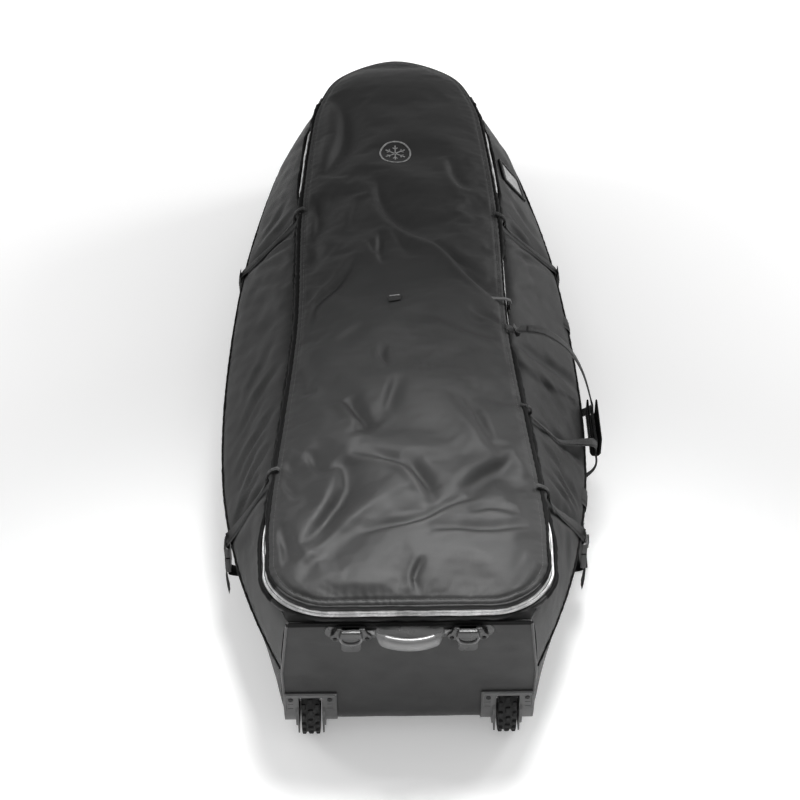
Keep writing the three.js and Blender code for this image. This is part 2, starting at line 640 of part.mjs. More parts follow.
function addCompressionStraps() {
  for (const [level, s] of COMPRESSION) {
    for (const [name, side] of SIDES) {
      const tag = `${level}_${name}`;
      const ridgeX = ridge.halfWidth(s);
      const top = ridgeHeight(s);
      const middleX = side * (ridgeX + BUCKLE_OFF);
      const deep = (half) => [middleX - half, middleX + half];
      const outward = new THREE.Vector3(side, 0, 0);

      const route = [-0.75, -0.4, 0, 0.5, 1, 1.4, 1.8].map((u) => onSide(side, s, u, STRAP_OFFSET));
      route.push(onSide(side, s, 2, STRAP_OFFSET + 2.5));
      route.push({ point: at(middleX, s, top - 5.5), normal: outward });
      add(`strap_lid_${tag}`, webbing(route, WEBBING), TRIM);

      const plug = box(deep(BUCKLE_HALF_DEPTH), [s - 14, s + 14], [top - MALE_END, top - MALE_TOP - GAP]);
      const tongue = box(deep(1.5), [s - 8, s + 8], [top - TONGUE_END, top - MALE_END + 1]);
      add(`buckle_male_${tag}`, join(plug, tongue), PLASTIC, 0.4);

      const socket = box(deep(3), [s - 12.5, s + 12.5], [top - SOCKET_END, top - FEMALE_TOP + 1]);
      const housing = box(deep(BUCKLE_HALF_DEPTH), [s - 15, s + 15], [top - FEMALE_END, top - FEMALE_TOP]);
      add(`buckle_female_${tag}`, cut(housing, socket), PLASTIC, 0.4);

      const tail = [{ point: at(middleX, s, top - FEMALE_END - 1), normal: outward }];
      tail.push({ point: at(middleX - side * 4, s, top - FEMALE_END - 10), normal: outward });
      tail.push(...[2.62, 2.8, 2.93].map((u) => onSide(side, s, u, STRAP_OFFSET)));
      add(`strap_shell_${tag}`, webbing(tail, WEBBING), TRIM);
    }
  }
}

const HANDLE_UPPER_S = 622;
const HANDLE_LOWER_S = 432;
const WRAP_HALF = 48;

function carryLoop(uStart, uSide, level) {
  const middleS = (HANDLE_UPPER_S + HANDLE_LOWER_S) / 2;
  const x = ridge.halfWidth(middleS) + 19;
  const z = ridgeHeight(middleS) + level;
  const outward = new THREE.Vector3(1, 0, 0);
  const arm = (s, towards) => [
    ...uStart.map((u) => onSide(1, s, u, STRAP_OFFSET)),
    onSide(1, mix(s, middleS, 0.1), uSide, STRAP_OFFSET + 3),
    { point: at(x - 6, mix(s, middleS, 0.24), mix(z, onSide(1, s, uSide, 6).point.z, 0.35)), normal: outward },
    { point: at(x, middleS + towards * (WRAP_HALF + 4), z), normal: outward },
  ];
  const upper = arm(HANDLE_UPPER_S, 1);
  const lower = arm(HANDLE_LOWER_S, -1);
  return [...upper, ...lower.reverse()];
}

function addCarryHandle() {
  const front = carryLoop([-0.7, -0.35, 0, 0.5, 1, 1.3], 1.6, 9);
  const back = carryLoop([2.9, 2.75], 2.5, -9);
  add('carry_loop_front', webbing(front, 14, 3), TRIM);
  add('carry_loop_back', webbing(back, 14, 3), TRIM);

  const middleS = (HANDLE_UPPER_S + HANDLE_LOWER_S) / 2;
  const x = ridge.halfWidth(middleS) + 19;
  const z = ridgeHeight(middleS);
  const sleeve = box([x - 9, x + 9], [middleS - WRAP_HALF, middleS + WRAP_HALF], [z - 22, z + 20]);
  const room = box([x - 5.5, x + 5.5], [middleS - 200, middleS + 200], [z - 18.5, z + 60]);
  add('carry_wrap', cut(sleeve, room), TRIM);
}

const RING_UPPER_S = 790;
const RING_LOWER_S = 352;
const RING_WIRE = 4;
const RING_HALF = 22;
const RING_STRAIGHT = 13;        // straight part of the ring's two sides
const RING_IN = 9;               // the rings hang a little inside the ridge
const RING_DROP = 22;

// A D-shaped wire ring hanging from the ridge, flat towards the bag's side.
function dRing(s) {
  const outline = (inset) => {
    const path = new THREE.Shape();
    path.moveTo(-RING_HALF + inset, -inset);
    path.lineTo(-RING_HALF + inset, -RING_STRAIGHT);
    path.absarc(0, -RING_STRAIGHT, RING_HALF - inset, Math.PI, Math.PI * 2);
    path.lineTo(RING_HALF - inset, -inset);
    path.lineTo(-RING_HALF + inset, -inset);
    return path;
  };
  const shape = outline(0);
  shape.holes.push(new THREE.Path(outline(RING_WIRE).getPoints(10)));
  const geometry = new THREE.ExtrudeGeometry(shape, { depth: RING_WIRE, bevelEnabled: false, curveSegments: 10 });
  geometry.rotateX(Math.PI / 2).rotateZ(Math.PI / 2);
  return geometry.translate(ridge.halfWidth(s) - RING_IN, TAIL_Y + s, ridgeHeight(s) - RING_DROP);
}

// The swivel snap hook: a hook round the ring's wire, a neck, and a loop for the webbing.
function snapHook(s) {
  const x = ridge.halfWidth(s) - RING_IN + RING_WIRE / 2;
  const wire = ridgeHeight(s) - RING_DROP - RING_STRAIGHT - RING_HALF + RING_WIRE / 2;
  const eye = new THREE.Shape().absellipse(0, 0, 10, 15, 0, Math.PI * 2);
  eye.holes.push(new THREE.Path().absellipse(0, 0, 6, 11, 0, Math.PI * 2));
  const hook = new THREE.ExtrudeGeometry(eye, { depth: 5, bevelEnabled: false, curveSegments: 12 });
  hook.rotateX(Math.PI / 2).translate(x, TAIL_Y + s + 2.5, wire - 6);
  const neck = new THREE.CylinderGeometry(4, 4, 12, 12).rotateX(Math.PI / 2).translate(x, TAIL_Y + s, wire - 25);
  const frame = box([x - 24, x + 20], [s - 3, s + 3], [wire - 42, wire - 29]);
  const slot = box([x - 21, x + 17], [s - 10, s + 10], [wire - 38.5, wire - 32.5]);
  return { geometry: cut(join(hook, neck, frame), slot), x: x - 2, foot: wire - 42 };
}

function addShoulderStrap() {
  const hooks = {};
  for (const [name, s] of [['upper', RING_UPPER_S], ['lower', RING_LOWER_S]]) {
    add(`d_ring_${name}`, dRing(s), 0x1b1b1c, 0.35, 0.6);
    hooks[name] = snapHook(s);
    add(`snap_hook_${name}`, hooks[name].geometry, 0x1b1b1c, 0.35, 0.6);
  }
  // Slack lies on the floor under the ridge, folded back on itself twice.
  const x = hooks.upper.x;
  const floor = 1.6;
  const layer = 5;
  const route = [
    [RING_UPPER_S, hooks.upper.foot - 2], [RING_UPPER_S - 4, 27], [RING_UPPER_S - 18, 10],
    [RING_UPPER_S - 45, floor + 1], [RING_UPPER_S - 75, floor],
    [480, floor], [300, floor], [294, floor + layer / 2], [300, floor + layer],
    [400, floor + layer], [560, floor + layer], [566, floor + layer * 1.5], [560, floor + layer * 2],
    [430, floor + layer * 2], [395, floor + layer * 2 + 2], [368, 24], [RING_LOWER_S + 4, 40],
    [RING_LOWER_S, hooks.lower.foot - 2],
  ];
  const places = route.map(([s, z], i) => {
    const before = route[Math.max(i - 1, 0)];
    const after = route[Math.min(i + 1, route.length - 1)];
    const along = new THREE.Vector2(after[0] - before[0], after[1] - before[1]).normalize();
    return { point: at(x, s, z), normal: new THREE.Vector3(0, -along.y, along.x) };
  });
  add('shoulder_strap', webbing(places, WIDE_WEBBING, 2), TRIM);
}

// A flat plate lying against the right side near the nose.
function addNameCardWindow() {
  const [s, girth, standOff] = [1150, 1.525, 3.4];
  const [wide, tall, thick] = [62, 60, 1.2];
  const place = (ds, du) => onSide(1, s + ds, girth + du, 0).point;
  const up = place(0, -0.2).sub(place(0, 0.2)).normalize();
  const ahead = place(wide / 2, 0).sub(place(-wide / 2, 0));
  const normal = ahead.cross(up).normalize();
  const turn = new THREE.Matrix4().makeBasis(up.clone().cross(normal), up, normal);
  const middle = place(0, 0).addScaledVector(normal, standOff);
  const plate = new THREE.BoxGeometry(wide, tall, thick).applyMatrix4(turn);
  add('name_card_window', plate.translate(middle.x, middle.y, middle.z), 0x3f4144, 0.3);
}

addSides();
addBack();
addWrap();
addLid();
addZipSlider();
addWheels();
addTailHandle();
addSkidRail();
addCompressionStraps();
addCarryHandle();
addShoulderStrap();
addNameCardWindow();

export default bag;
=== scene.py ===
"""A wheeled, padded board bag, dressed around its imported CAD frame.

Script lengths are millimetres, and meshes are made in metres. +Z is up, the tail with the wheels is at -Y,
and s is the distance from the tail face towards the nose.
"""
import math

import bmesh
import bpy
import numpy as np
from mathutils import Matrix, Vector


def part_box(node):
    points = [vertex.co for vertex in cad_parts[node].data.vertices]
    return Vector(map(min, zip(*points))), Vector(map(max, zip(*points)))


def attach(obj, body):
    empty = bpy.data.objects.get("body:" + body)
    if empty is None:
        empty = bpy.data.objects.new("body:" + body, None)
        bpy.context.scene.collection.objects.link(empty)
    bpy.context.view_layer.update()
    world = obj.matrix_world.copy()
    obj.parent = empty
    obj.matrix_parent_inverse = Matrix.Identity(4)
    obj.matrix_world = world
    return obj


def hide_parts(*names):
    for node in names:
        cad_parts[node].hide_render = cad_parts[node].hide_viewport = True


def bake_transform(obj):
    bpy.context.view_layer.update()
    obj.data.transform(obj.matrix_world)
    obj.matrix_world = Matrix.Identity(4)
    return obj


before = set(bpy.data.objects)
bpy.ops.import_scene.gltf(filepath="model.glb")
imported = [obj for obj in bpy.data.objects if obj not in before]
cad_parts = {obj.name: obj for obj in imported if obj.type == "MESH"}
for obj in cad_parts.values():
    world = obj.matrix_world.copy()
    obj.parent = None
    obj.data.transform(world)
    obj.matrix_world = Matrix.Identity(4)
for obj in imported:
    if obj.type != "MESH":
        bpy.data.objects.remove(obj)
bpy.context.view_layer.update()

# ---- Driving dimensions, as in the CAD model ----
MM = 0.001
LENGTH = 1450
TAIL_Y = -LENGTH / 2
PANEL = 10
SIDE_INSET = 12
LID_HEIGHT_TAIL = 300
LID_HEIGHT_NOSE = 268
LID_CROWN = 18
RIM_HEIGHT = 30
RIM_FLARE = 5
RIM_CORNER = 98
CORNER_RADIUS = 50
WRAP_END = 410
HINGE_S = 1290
TAIL_LIFT = 18
WRAP_END_LIFT = 14
LIFT_END = 650
STATIONS = [0, 110, 230, 400, 640, 930, 1180]
SIDES = [("right", 1), ("left", -1)]
STRAP_S = {"lower": 275, "upper": 945}
# Where each strap crosses the rim, beside its buckle's place: the straps run down the sides at a slant.
STRAP_SLANT = {("lower", 1): -32, ("lower", -1): 12, ("upper", 1): -12, ("upper", -1): 8}
CARRY_UPPER_S = 622
CARRY_LOWER_S = 432
CARRY_MIDDLE_S = (CARRY_UPPER_S + CARRY_LOWER_S) / 2
CARRY_WRAP_HALF = 48
RING_S = {"upper": 790, "lower": 352}
CARD_S = 1150
CARD_HALF = 31
UP = np.array([0.0, 0.0, 1.0])
RIGHT = np.array([1.0, 0.0, 0.0])


# ---- Shape helpers ----

def mix(a, b, f):
    return a + (b - a) * f


def bell(offset, width):
    """1 where the offset is 0, falling off over about a width."""
    return np.exp(-((offset / width) ** 2))


def smoothstep(low, high, value):
    f = np.clip((np.asarray(value, float) - low) / (high - low), 0, 1)
    return f * f * (3 - 2 * f)


def unit(vectors):
    vectors = np.asarray(vectors, float)
    length = np.linalg.norm(vectors, axis=-1, keepdims=True)
    return vectors / np.maximum(length, 1e-9)


def catmull_rom(knots, per_span):
    """A smooth curve through all knots, with per_span steps between two of them."""
    knots = np.asarray(knots, float)
    p = np.linspace(0, len(knots) - 1, (len(knots) - 1) * per_span + 1)
    i = np.minimum(p.astype(int), len(knots) - 2)
    w = (p - i)[:, None]
    before, a, b, after = (knots[np.clip(i + k, 0, len(knots) - 1)] for k in (-1, 0, 1, 2))
    va, vb = (b - before) / 2, (after - a) / 2
    return (2 * a - 2 * b + va + vb) * w**3 + (3 * b - 3 * a - 2 * va - vb) * w**2 + va * w + a


def arc_length(path):
    """Distance along a path to each of its points."""
    return np.concatenate([[0], np.cumsum(np.linalg.norm(np.diff(path, axis=0), axis=1))])


def resample(path, step):
    """The same path with points an even distance apart."""
    path = np.asarray(path, float)
    along = arc_length(path)
    count = max(2, int(round(along[-1] / step)) + 1)
    even = np.linspace(0, along[-1], count)
    return np.stack([np.interp(even, along, path[:, k]) for k in range(path.shape[1])], axis=1)


def both_sides(points, outs, skip=1):
    """A line on the right and its mirror image on the left as one path, with its outward directions."""
    mirror = np.array([-1, 1])
    count = len(points) - skip
    whole = np.concatenate([points, (points[:count] * mirror)[::-1]])
    return whole, np.concatenate([outs, (outs[:count] * mirror)[::-1]])


def row_lengths(grid):
    """Distance along each row of a grid of points."""
    steps = np.linalg.norm(np.diff(grid, axis=1), axis=2)
    return np.concatenate([np.zeros((len(grid), 1)), np.cumsum(steps, axis=1)], axis=1)


def ripple(x, y, wavelength, seed, waves=9):
    """Smooth seeded noise between about -1 and 1."""
    rng = np.random.default_rng(seed)
    total = np.zeros(np.broadcast(x, y).shape)
    for _ in range(waves):
        angle, phase = rng.uniform(0, 2 * math.pi, 2)
        k = 2 * math.pi / (wavelength * rng.uniform(0.7, 1.6))
        total += np.sin(k * (x * math.cos(angle) + y * math.sin(angle)) + phase)
    return total / waves**0.5 / 1.2


def nearest_on_path(x, y, path):
    """Distance to a path in the plane, signed by side, and how far along it, from 0 to 1."""
    best = np.full(x.shape, 1e9)
    side = np.zeros(x.shape)
    along = np.zeros(x.shape)
    lengths = arc_length(path)
    for i in range(len(path) - 1):
        step = path[i + 1] - path[i]
        f = np.clip(((x - path[i, 0]) * step[0] + (y - path[i, 1]) * step[1]) / (step @ step), 0, 1)
        dx, dy = x - path[i, 0] - f * step[0], y - path[i, 1] - f * step[1]
        distance = np.hypot(dx, dy)
        closer = distance < best
        best = np.where(closer, distance, best)
        side = np.where(closer, np.sign(step[0] * dy - step[1] * dx), side)
        along = np.where(closer, mix(lengths[i], lengths[i + 1], f) / lengths[-1], along)
    return best, side, along


def fold(x, y, points, width, depth, shoulder=0.4):
    """A valley drawn through the points, steep on one side and easy on the other, with a raised shoulder."""
    path = catmull_rom(points, 5)
    distance, side, along = nearest_on_path(x, y, path)
    taper = np.sin(math.pi * along) ** 0.7
    lean = mix(0.85, 1.75, smoothstep(-0.6, 0.6, distance * side / width))
    valley = -depth * bell(distance, width * lean)
    ridge_line = depth * shoulder * bell(distance * side + 1.7 * width, 1.3 * width)
    return (valley + ridge_line) * taper


class Outline:
    """Half of the bag's outline in plan, from the tail (t = 0) round to the nose (t = 1)."""

    def __init__(self, half_widths, shoulders, nose):
        right = [*zip(half_widths, STATIONS), *shoulders]
        knots = [*right, (0, nose), *[(-x, s) for x, s in reversed(right)]]
        whole = catmull_rom(knots, 160)
        self.points = whole[: len(whole) // 2 + 1]
        tangents = unit(np.gradient(whole, axis=0))[: len(self.points)]
        self.outward = np.stack([tangents[:, 1], -tangents[:, 0]], axis=1)
        self.ts = np.linspace(0, 1, len(self.points))

    def at(self, t):
        return np.stack([np.interp(t, self.ts, self.points[:, k]) for k in (0, 1)], axis=-1)

    def out(self, t):
        return unit(np.stack([np.interp(t, self.ts, self.outward[:, k]) for k in (0, 1)], axis=-1))

    def t(self, s):
        return np.interp(s, self.points[:, 1], self.ts)

    def half_width(self, s):
        return np.interp(s, self.points[:, 1], self.points[:, 0])


shell_edge = Outline([178, 211, 211, 197, 181, 180, 166], [(150, 1290), (107, 1386)], 1440)
ridge = Outline([188, 232, 267, 294, 300, 282, 242], [(208, 1296), (140, 1396)], 1450)
back_edge = Outline([186, 190, 196, 210, 183, 176, 176], [(160, 1290), (112, 1385)], 1433)


def lid_height(s):
    return mix(LID_HEIGHT_TAIL, LID_HEIGHT_NOSE, np.asarray(s, float) / LENGTH)


def underside(s):
    return np.interp(s, [0, WRAP_END, LIFT_END], [TAIL_LIFT, WRAP_END_LIFT, 0])


def ridge_height(s):
    return (lid_height(s) + underside(s)) / 2


def lid_half(s):
    return shell_edge.half_width(s) - RIM_FLARE


def place(x, s, z):
    return np.stack(np.broadcast_arrays(x, TAIL_Y + np.asarray(s, float), z), axis=-1).astype(float)


def section(s):
    """Corner points of the bag's section: on the lid, lid edge, shell edge, ridge, back edge."""
    lid = float(lid_half(s))
    crown = LID_CROWN * (1 - ((lid - 60) / lid) ** 2)
    return np.array([
        (lid - 60, lid_height(s) + crown), (lid, lid_height(s)),
        (shell_edge.half_width(s), lid_height(s) - RIM_HEIGHT),
        (ridge.half_width(s), ridge_height(s)), (back_edge.half_width(s), underside(s)),
    ], float)


def girth_point(side, s, u):
    """The point of the bag's side at girth u.

    u is -1 on the lid, 0 at the lid edge, 1 at the shell edge, 2 at the ridge and 3 at the back edge.
    """
    corners = section(s)
    k = min(int(math.floor(u + 1)), 3)
    base = mix(corners[k], corners[k + 1], u + 1 - k)
    return place(side * base[0], s, base[1])


def on_side(side, s, u, off):
    """The point at girth u standing off the cloth, and the direction that faces away from the bag."""
    step = 0.06
    down = girth_point(side, s, min(u + step, 3)) - girth_point(side, s, max(u - step, -1))
    along = girth_point(side, s + 5, u) - girth_point(side, s - 5, u)
    normal = unit(np.cross(down, along)) * side
    return girth_point(side, s, u) + normal * off, normal


# ---- Mesh helpers ----

SHARP_ANGLE = 30


def add_object(name, data):
    made = bpy.data.objects.new(name, data)
    bpy.context.scene.collection.objects.link(made)
    return made


def soften(work, angle):
    """Smooth shading, with a sharp edge where two faces meet at more than an angle in degrees."""
    for face in work.faces:
        face.smooth = True
    for edge in work.edges:
        edge.smooth = len(edge.link_faces) == 2 and edge.calc_face_angle(0) < math.radians(angle)


def make_piece(name, points, faces, material, uvs=None, smooth_angle=40):
    mesh = bpy.data.meshes.new(name)
    mesh.from_pydata((np.asarray(points, float) * MM).tolist(), [], faces)
    if uvs is not None:
        layer = mesh.uv_layers.new(name="UVMap")
        corners = np.empty(len(mesh.loops), int)
        mesh.loops.foreach_get("vertex_index", corners)
        layer.data.foreach_set("uv", (np.asarray(uvs, float) * MM)[corners].ravel())
    work = bmesh.new()
    work.from_mesh(mesh)
    bmesh.ops.recalc_face_normals(work, faces=work.faces)
    soften(work, smooth_angle)
    work.to_mesh(mesh)
    work.free()
    mesh.materials.append(material)
    return add_object(name, mesh)


def grid_quads(rows, columns, start=0, around=False):
    r, c = np.meshgrid(np.arange(rows - 1), np.arange(columns if around else columns - 1), indexing="ij")
    a, b = start + r * columns + c, start + r * columns + (c + 1) % columns
    return np.stack([a, b, b + columns, a + columns], axis=-1).reshape(-1, 4).tolist()


def closing_quads(rows, columns):
    """Faces from the last ring of points back to the first."""
    last = (rows - 1) * columns
    return [[last + c, last + (c + 1) % columns, (c + 1) % columns, c] for c in range(columns)]


def grid_uvs(grid):
    """Cloth coordinates of a grid of points: distances along its columns and its rows."""
    down = np.linalg.norm(np.diff(grid, axis=0), axis=2).mean(axis=1)
    rows = np.concatenate([[0], np.cumsum(down)])
    across = row_lengths(grid)
    across -= across[:, [len(grid[0]) // 2]]
    return np.stack([across, np.broadcast_to(rows[:, None], across.shape)], axis=-1).reshape(-1, 2)


def slab(name, outer, inner, material, smooth_angle=50):
    """One closed body between two matching grids of points."""
    rows, columns = outer.shape[:2]
    points = np.concatenate([outer.reshape(-1, 3), inner.reshape(-1, 3)])
    size = rows * columns
    faces = grid_quads(rows, columns) + [q[::-1] for q in grid_quads(rows, columns, size)]
    border = [r * columns for r in range(rows)] + [(rows - 1) * columns + c for c in range(1, columns)]
    border += [r * columns + columns - 1 for r in range(rows - 2, -1, -1)] + list(range(columns - 2, 0, -1))
    for a, b in zip(border, border[1:] + border[:1]):
        faces.append([a, b, b + size, a + size])
    uvs = grid_uvs(outer)
    return make_piece(name, points, faces, material, np.concatenate([uvs, uvs]), smooth_angle)


def sheet_normals(grid):
    return unit(np.cross(np.gradient(grid, axis=0), np.gradient(grid, axis=1)))


def sweep(name, path, normals, profile, material, closed=False, smooth_angle=40):
    """A profile carried along a path. Profile points are (across, out), and may change along the path."""
    path = np.asarray(path, float)
    ahead, behind = np.roll(path, -1, axis=0), np.roll(path, 1, axis=0)
    if not closed:
        ahead[-1], behind[0] = path[-1], path[0]
    along = unit(ahead - behind)
    normals = np.broadcast_to(np.asarray(normals, float), path.shape)
    out = unit(normals - along * np.sum(normals * along, axis=1, keepdims=True))
    wide = np.cross(out, along)
    profile = np.asarray(profile, float)
    if profile.ndim == 2:
        profile = np.broadcast_to(profile, (len(path), *profile.shape))
    points = path[:, None] + wide[:, None] * profile[..., :1] + out[:, None] * profile[..., 1:]
    count = profile.shape[1]
    rows = len(path)
    faces = grid_quads(rows, count, around=True)
    if closed:
        faces += closing_quads(rows, count)
    else:
        faces += [list(range(count)), [(rows - 1) * count + c for c in range(count)]]
    girth = arc_length(profile[0])
    uvs = np.stack(np.broadcast_arrays(girth[None, :], arc_length(path)[:, None]), axis=-1).reshape(-1, 2)
    return make_piece(name, points.reshape(-1, 3), faces, material, uvs, smooth_angle)


def round_profile(across, out, sides=12):
    angles = np.arange(sides) * 2 * math.pi / sides
    return np.stack([across * np.cos(angles), out * np.sin(angles)], axis=1)


def rod(name, path, out, across, rise, material):
    """A thin eight-sided bar or rib along a path."""
    return sweep(name, path, out, round_profile(across, rise, 8), material)


def flat_profile(width, thickness):
    """The section of a flat band with rounded edges."""
    w, h = width / 2, thickness / 2
    return [(-w, 0), (-w + h * 0.6, h), (-w * 0.5, h), (0, h), (w * 0.5, h), (w - h * 0.6, h),
            (w, 0), (w - h * 0.6, -h), (0, -h), (-w + h * 0.6, -h)]


def lathe(name, profile, centre, axis, material, segments=48, smooth_angle=35):
    """A ring turned round an axis, from a closed profile of (radius, place along the axis)."""
    axis = unit(axis)
    side_a = unit(np.cross(axis, UP if abs(axis[2]) < 0.9 else RIGHT))
    side_b = np.cross(axis, side_a)
    angles = np.arange(segments) * 2 * math.pi / segments
    profile = np.asarray(profile, float)
    ring = side_a * np.cos(angles)[:, None] + side_b * np.sin(angles)[:, None]
    points = np.asarray(centre, float) + ring[:, None] * profile[None, :, :1] + axis * profile[None, :, 1:]
    count = len(profile)
    faces = grid_quads(segments, count, around=True) + closing_quads(segments, count)
    return make_piece(name, points.reshape(-1, 3), faces, material, None, smooth_angle)


def solid_shape(name, outline, normal_axis, low, high, material, bevel=0.0, segments=2):
    """A flat outline given depth along X, Y or Z. Outline points are the other two coordinates in order."""
    work = bmesh.new()
    axes = [k for k in range(3) if k != normal_axis]
    corners = []
    for a, b in outline:
        point = [0.0, 0.0, 0.0]
        point[axes[0]], point[axes[1]], point[normal_axis] = a * MM, b * MM, low * MM
        corners.append(work.verts.new(point))
    face = work.faces.new(corners)
    shift = Vector((0, 0, 0))
    shift[normal_axis] = (high - low) * MM
    moved = bmesh.ops.extrude_face_region(work, geom=[face])
    corners = [v for v in moved["geom"] if isinstance(v, bmesh.types.BMVert)]
    bmesh.ops.translate(work, vec=shift, verts=corners)
    return finish_solid(name, work, material, bevel, segments)


def finish_solid(name, work, material, bevel, segments=2):
    bmesh.ops.recalc_face_normals(work, faces=work.faces)
    if bevel:
        limit = math.radians(SHARP_ANGLE)
        edges = [e for e in work.edges if len(e.link_faces) == 2 and e.calc_face_angle(0) > limit]
        bmesh.ops.bevel(work, geom=edges, offset=bevel * MM, segments=segments, affect="EDGES", profile=0.6,
                        clamp_overlap=True)
    soften(work, 38)
    mesh = bpy.data.meshes.new(name)
    work.to_mesh(mesh)
    work.free()
    mesh.materials.append(material)
    return add_object(name, mesh)


def refined(node, material, bevel=0.7, name=None):
    """A detailed stand-in for a CAD node: its solid with clean faces and rounded edges."""
    work = bmesh.new()
    work.from_mesh(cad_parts[node].data)
    bmesh.ops.remove_doubles(work, verts=work.verts, dist=2e-5)
    bmesh.ops.dissolve_limit(work, angle_limit=math.radians(1.5), verts=work.verts, edges=work.edges)
    return finish_solid(name or node + "_moulded", work, material, bevel)


def joined(name, pieces):
    """Several meshes as one piece with the materials of all."""
    work = bmesh.new()
    mesh = bpy.data.meshes.new(name)
    for piece in pieces:
        material = piece.data.materials[0]
        if material.name not in mesh.materials:
            mesh.materials.append(material)
        index = list(mesh.materials).index(material)
        first = len(work.faces)
        work.from_mesh(piece.data)
        work.faces.ensure_lookup_table()
        for face in work.faces[first:]:
            face.material_index = index
        bpy.data.objects.remove(piece)
    work.to_mesh(mesh)
    work.free()
    return add_object(name, mesh)


def put(piece, body, slot, *nodes, fill=None):
    """Gives a piece its body and hides the CAD nodes it stands for. Its slot and its stuffing are not used.
    """
    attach(piece, body)
    describe(piece, slot, *nodes, fill=fill)
    return piece


def describe(piece, slot, *nodes, fill=None):
    if nodes:
        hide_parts(*nodes)


def node_box(node):
    """Lowest and highest corner of a CAD node in millimetres."""
    low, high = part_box(node)
    return np.array(low) / MM, np.array(high) / MM


# ---- Materials ----

def linear(grey):
    """A grey given as 0 to 255 on screen, as a linear colour."""
    value = ((grey / 255 + 0.055) / 1.055) ** 2.4 if grey > 10 else grey / 255 / 12.92
    return (value, value, value, 1.0)


class Graph:
    """A material's nodes, made and joined in short calls."""

    def __init__(self, name, roughness=0.6, metallic=0.0, specular=0.5, sheen=0.0, sheen_roughness=0.5,
                 coat=0.0, coat_roughness=0.2):
        self.material = bpy.data.materials.new(name)
        self.material.use_nodes = True
        self.tree = self.material.node_tree
        self.shader = self.tree.nodes["Principled BSDF"]
        values = {"Roughness": roughness, "Metallic": metallic, "Specular IOR Level": specular,
                  "Sheen Weight": sheen, "Sheen Roughness": sheen_roughness, "Coat Weight": coat,
                  "Coat Roughness": coat_roughness}
        for socket, value in values.items():
            self.shader.inputs[socket].default_value = value

    def node(self, kind, inputs=(), **settings):
        node = self.tree.nodes.new("ShaderNode" + kind)
        for key, value in settings.items():
            setattr(node, key, value)
        for key, value in dict(inputs).items():
            self.feed(node.inputs[key], value)
        return node

    def feed(self, socket, value):
        """Links another node's output to a socket, or sets a plain value on it."""
        if isinstance(value, bpy.types.NodeSocket):
            self.tree.links.new(value, socket)
        else:
            socket.default_value = value

    def place(self, kind="Object"):
        return self.node("TexCoord").outputs[kind]

    def noise(self, scale, detail=3.0, roughness=0.6, where=None):
        inputs = {"Vector": where or self.place(), "Scale": scale, "Detail": detail, "Roughness": roughness}
        return self.node("TexNoise", inputs).outputs["Fac"]

    def math(self, operation, a, b=0.0):
        return self.node("Math", {0: a, 1: b}, operation=operation).outputs[0]

    def between(self, factor, low, high, from_low=0.0, from_high=1.0):
        inputs = {"Value": factor, "From Min": from_low, "From Max": from_high, "To Min": low, "To Max": high}
        return self.node("MapRange", inputs).outputs["Result"]

    def mix_colours(self, factor, a, b):
        return self.node("Mix", {0: factor, 6: a, 7: b}, data_type="RGBA").outputs[2]

    def shades(self, factor, low, high, dark, light):
        """From a dark grey to a light one while the factor goes from low to high."""
        return self.mix_colours(self.between(factor, 0.0, 1.0, low, high), linear(dark), linear(light))

    def bump(self, height, distance, strength=1.0, under=None):
        inputs = {"Height": height, "Distance": distance * MM, "Strength": strength}
        if under is not None:
            inputs["Normal"] = under
        return self.node("Bump", inputs).outputs["Normal"]

    def finish(self, colour=None, roughness=None, normal=None):
        for socket, value in (("Base Color", colour), ("Roughness", roughness), ("Normal", normal)):
            if value is not None:
                self.feed(self.shader.inputs[socket], value)
        return self.material

    def threads(self, pitch):
        """Over-and-under threads along both cloth directions, from 0 to 1."""
        crossing = self.math("MULTIPLY", self.wave(pitch, 0), self.wave(pitch, 1))
        return self.between(crossing, 0.0, 1.0, -1.0, 1.0)

    def ribs(self, pitch, direction=1):
        return self.between(self.wave(pitch, direction), 0.0, 1.0, -1.0, 1.0)

    def wave(self, pitch, direction):
        """A sine wave along one cloth direction."""
        split = self.node("SeparateXYZ", {"Vector": self.place("UV")})
        return self.math("SINE", self.math("MULTIPLY", split.outputs[direction], 2 * math.pi / (pitch * MM)))


def nylon(name, dark, light, roughness=0.5, sheen=0.25, weave=1.3, specular=0.4):
    """Coated polyester cloth: fine weave, slight cloudiness, scuffed sheen."""
    g = Graph(name, sheen=sheen, sheen_roughness=0.45, specular=specular)
    threads = g.threads(weave)
    cloud = g.noise(7.0, 4.0)
    fine = g.noise(420.0, 2.0)
    shade = g.math("ADD", g.math("MULTIPLY", cloud, 0.7), g.math("MULTIPLY", fine, 0.3))
    colour = g.shades(shade, 0.35, 0.65, dark, light)
    colour = g.mix_colours(g.math("MULTIPLY", threads, 0.35), colour, linear(dark * 0.55))
    rough = g.between(g.math("ADD", g.math("MULTIPLY", cloud, 0.6), g.math("MULTIPLY", threads, 0.4)),
                      roughness - 0.07, roughness + 0.1, 0.2, 0.8)
    normal = g.bump(g.noise(60.0, 5.0, 0.65), 0.8, 0.3)
    normal = g.bump(threads, 0.07, 0.8, normal)
    return g.finish(colour, rough, normal)


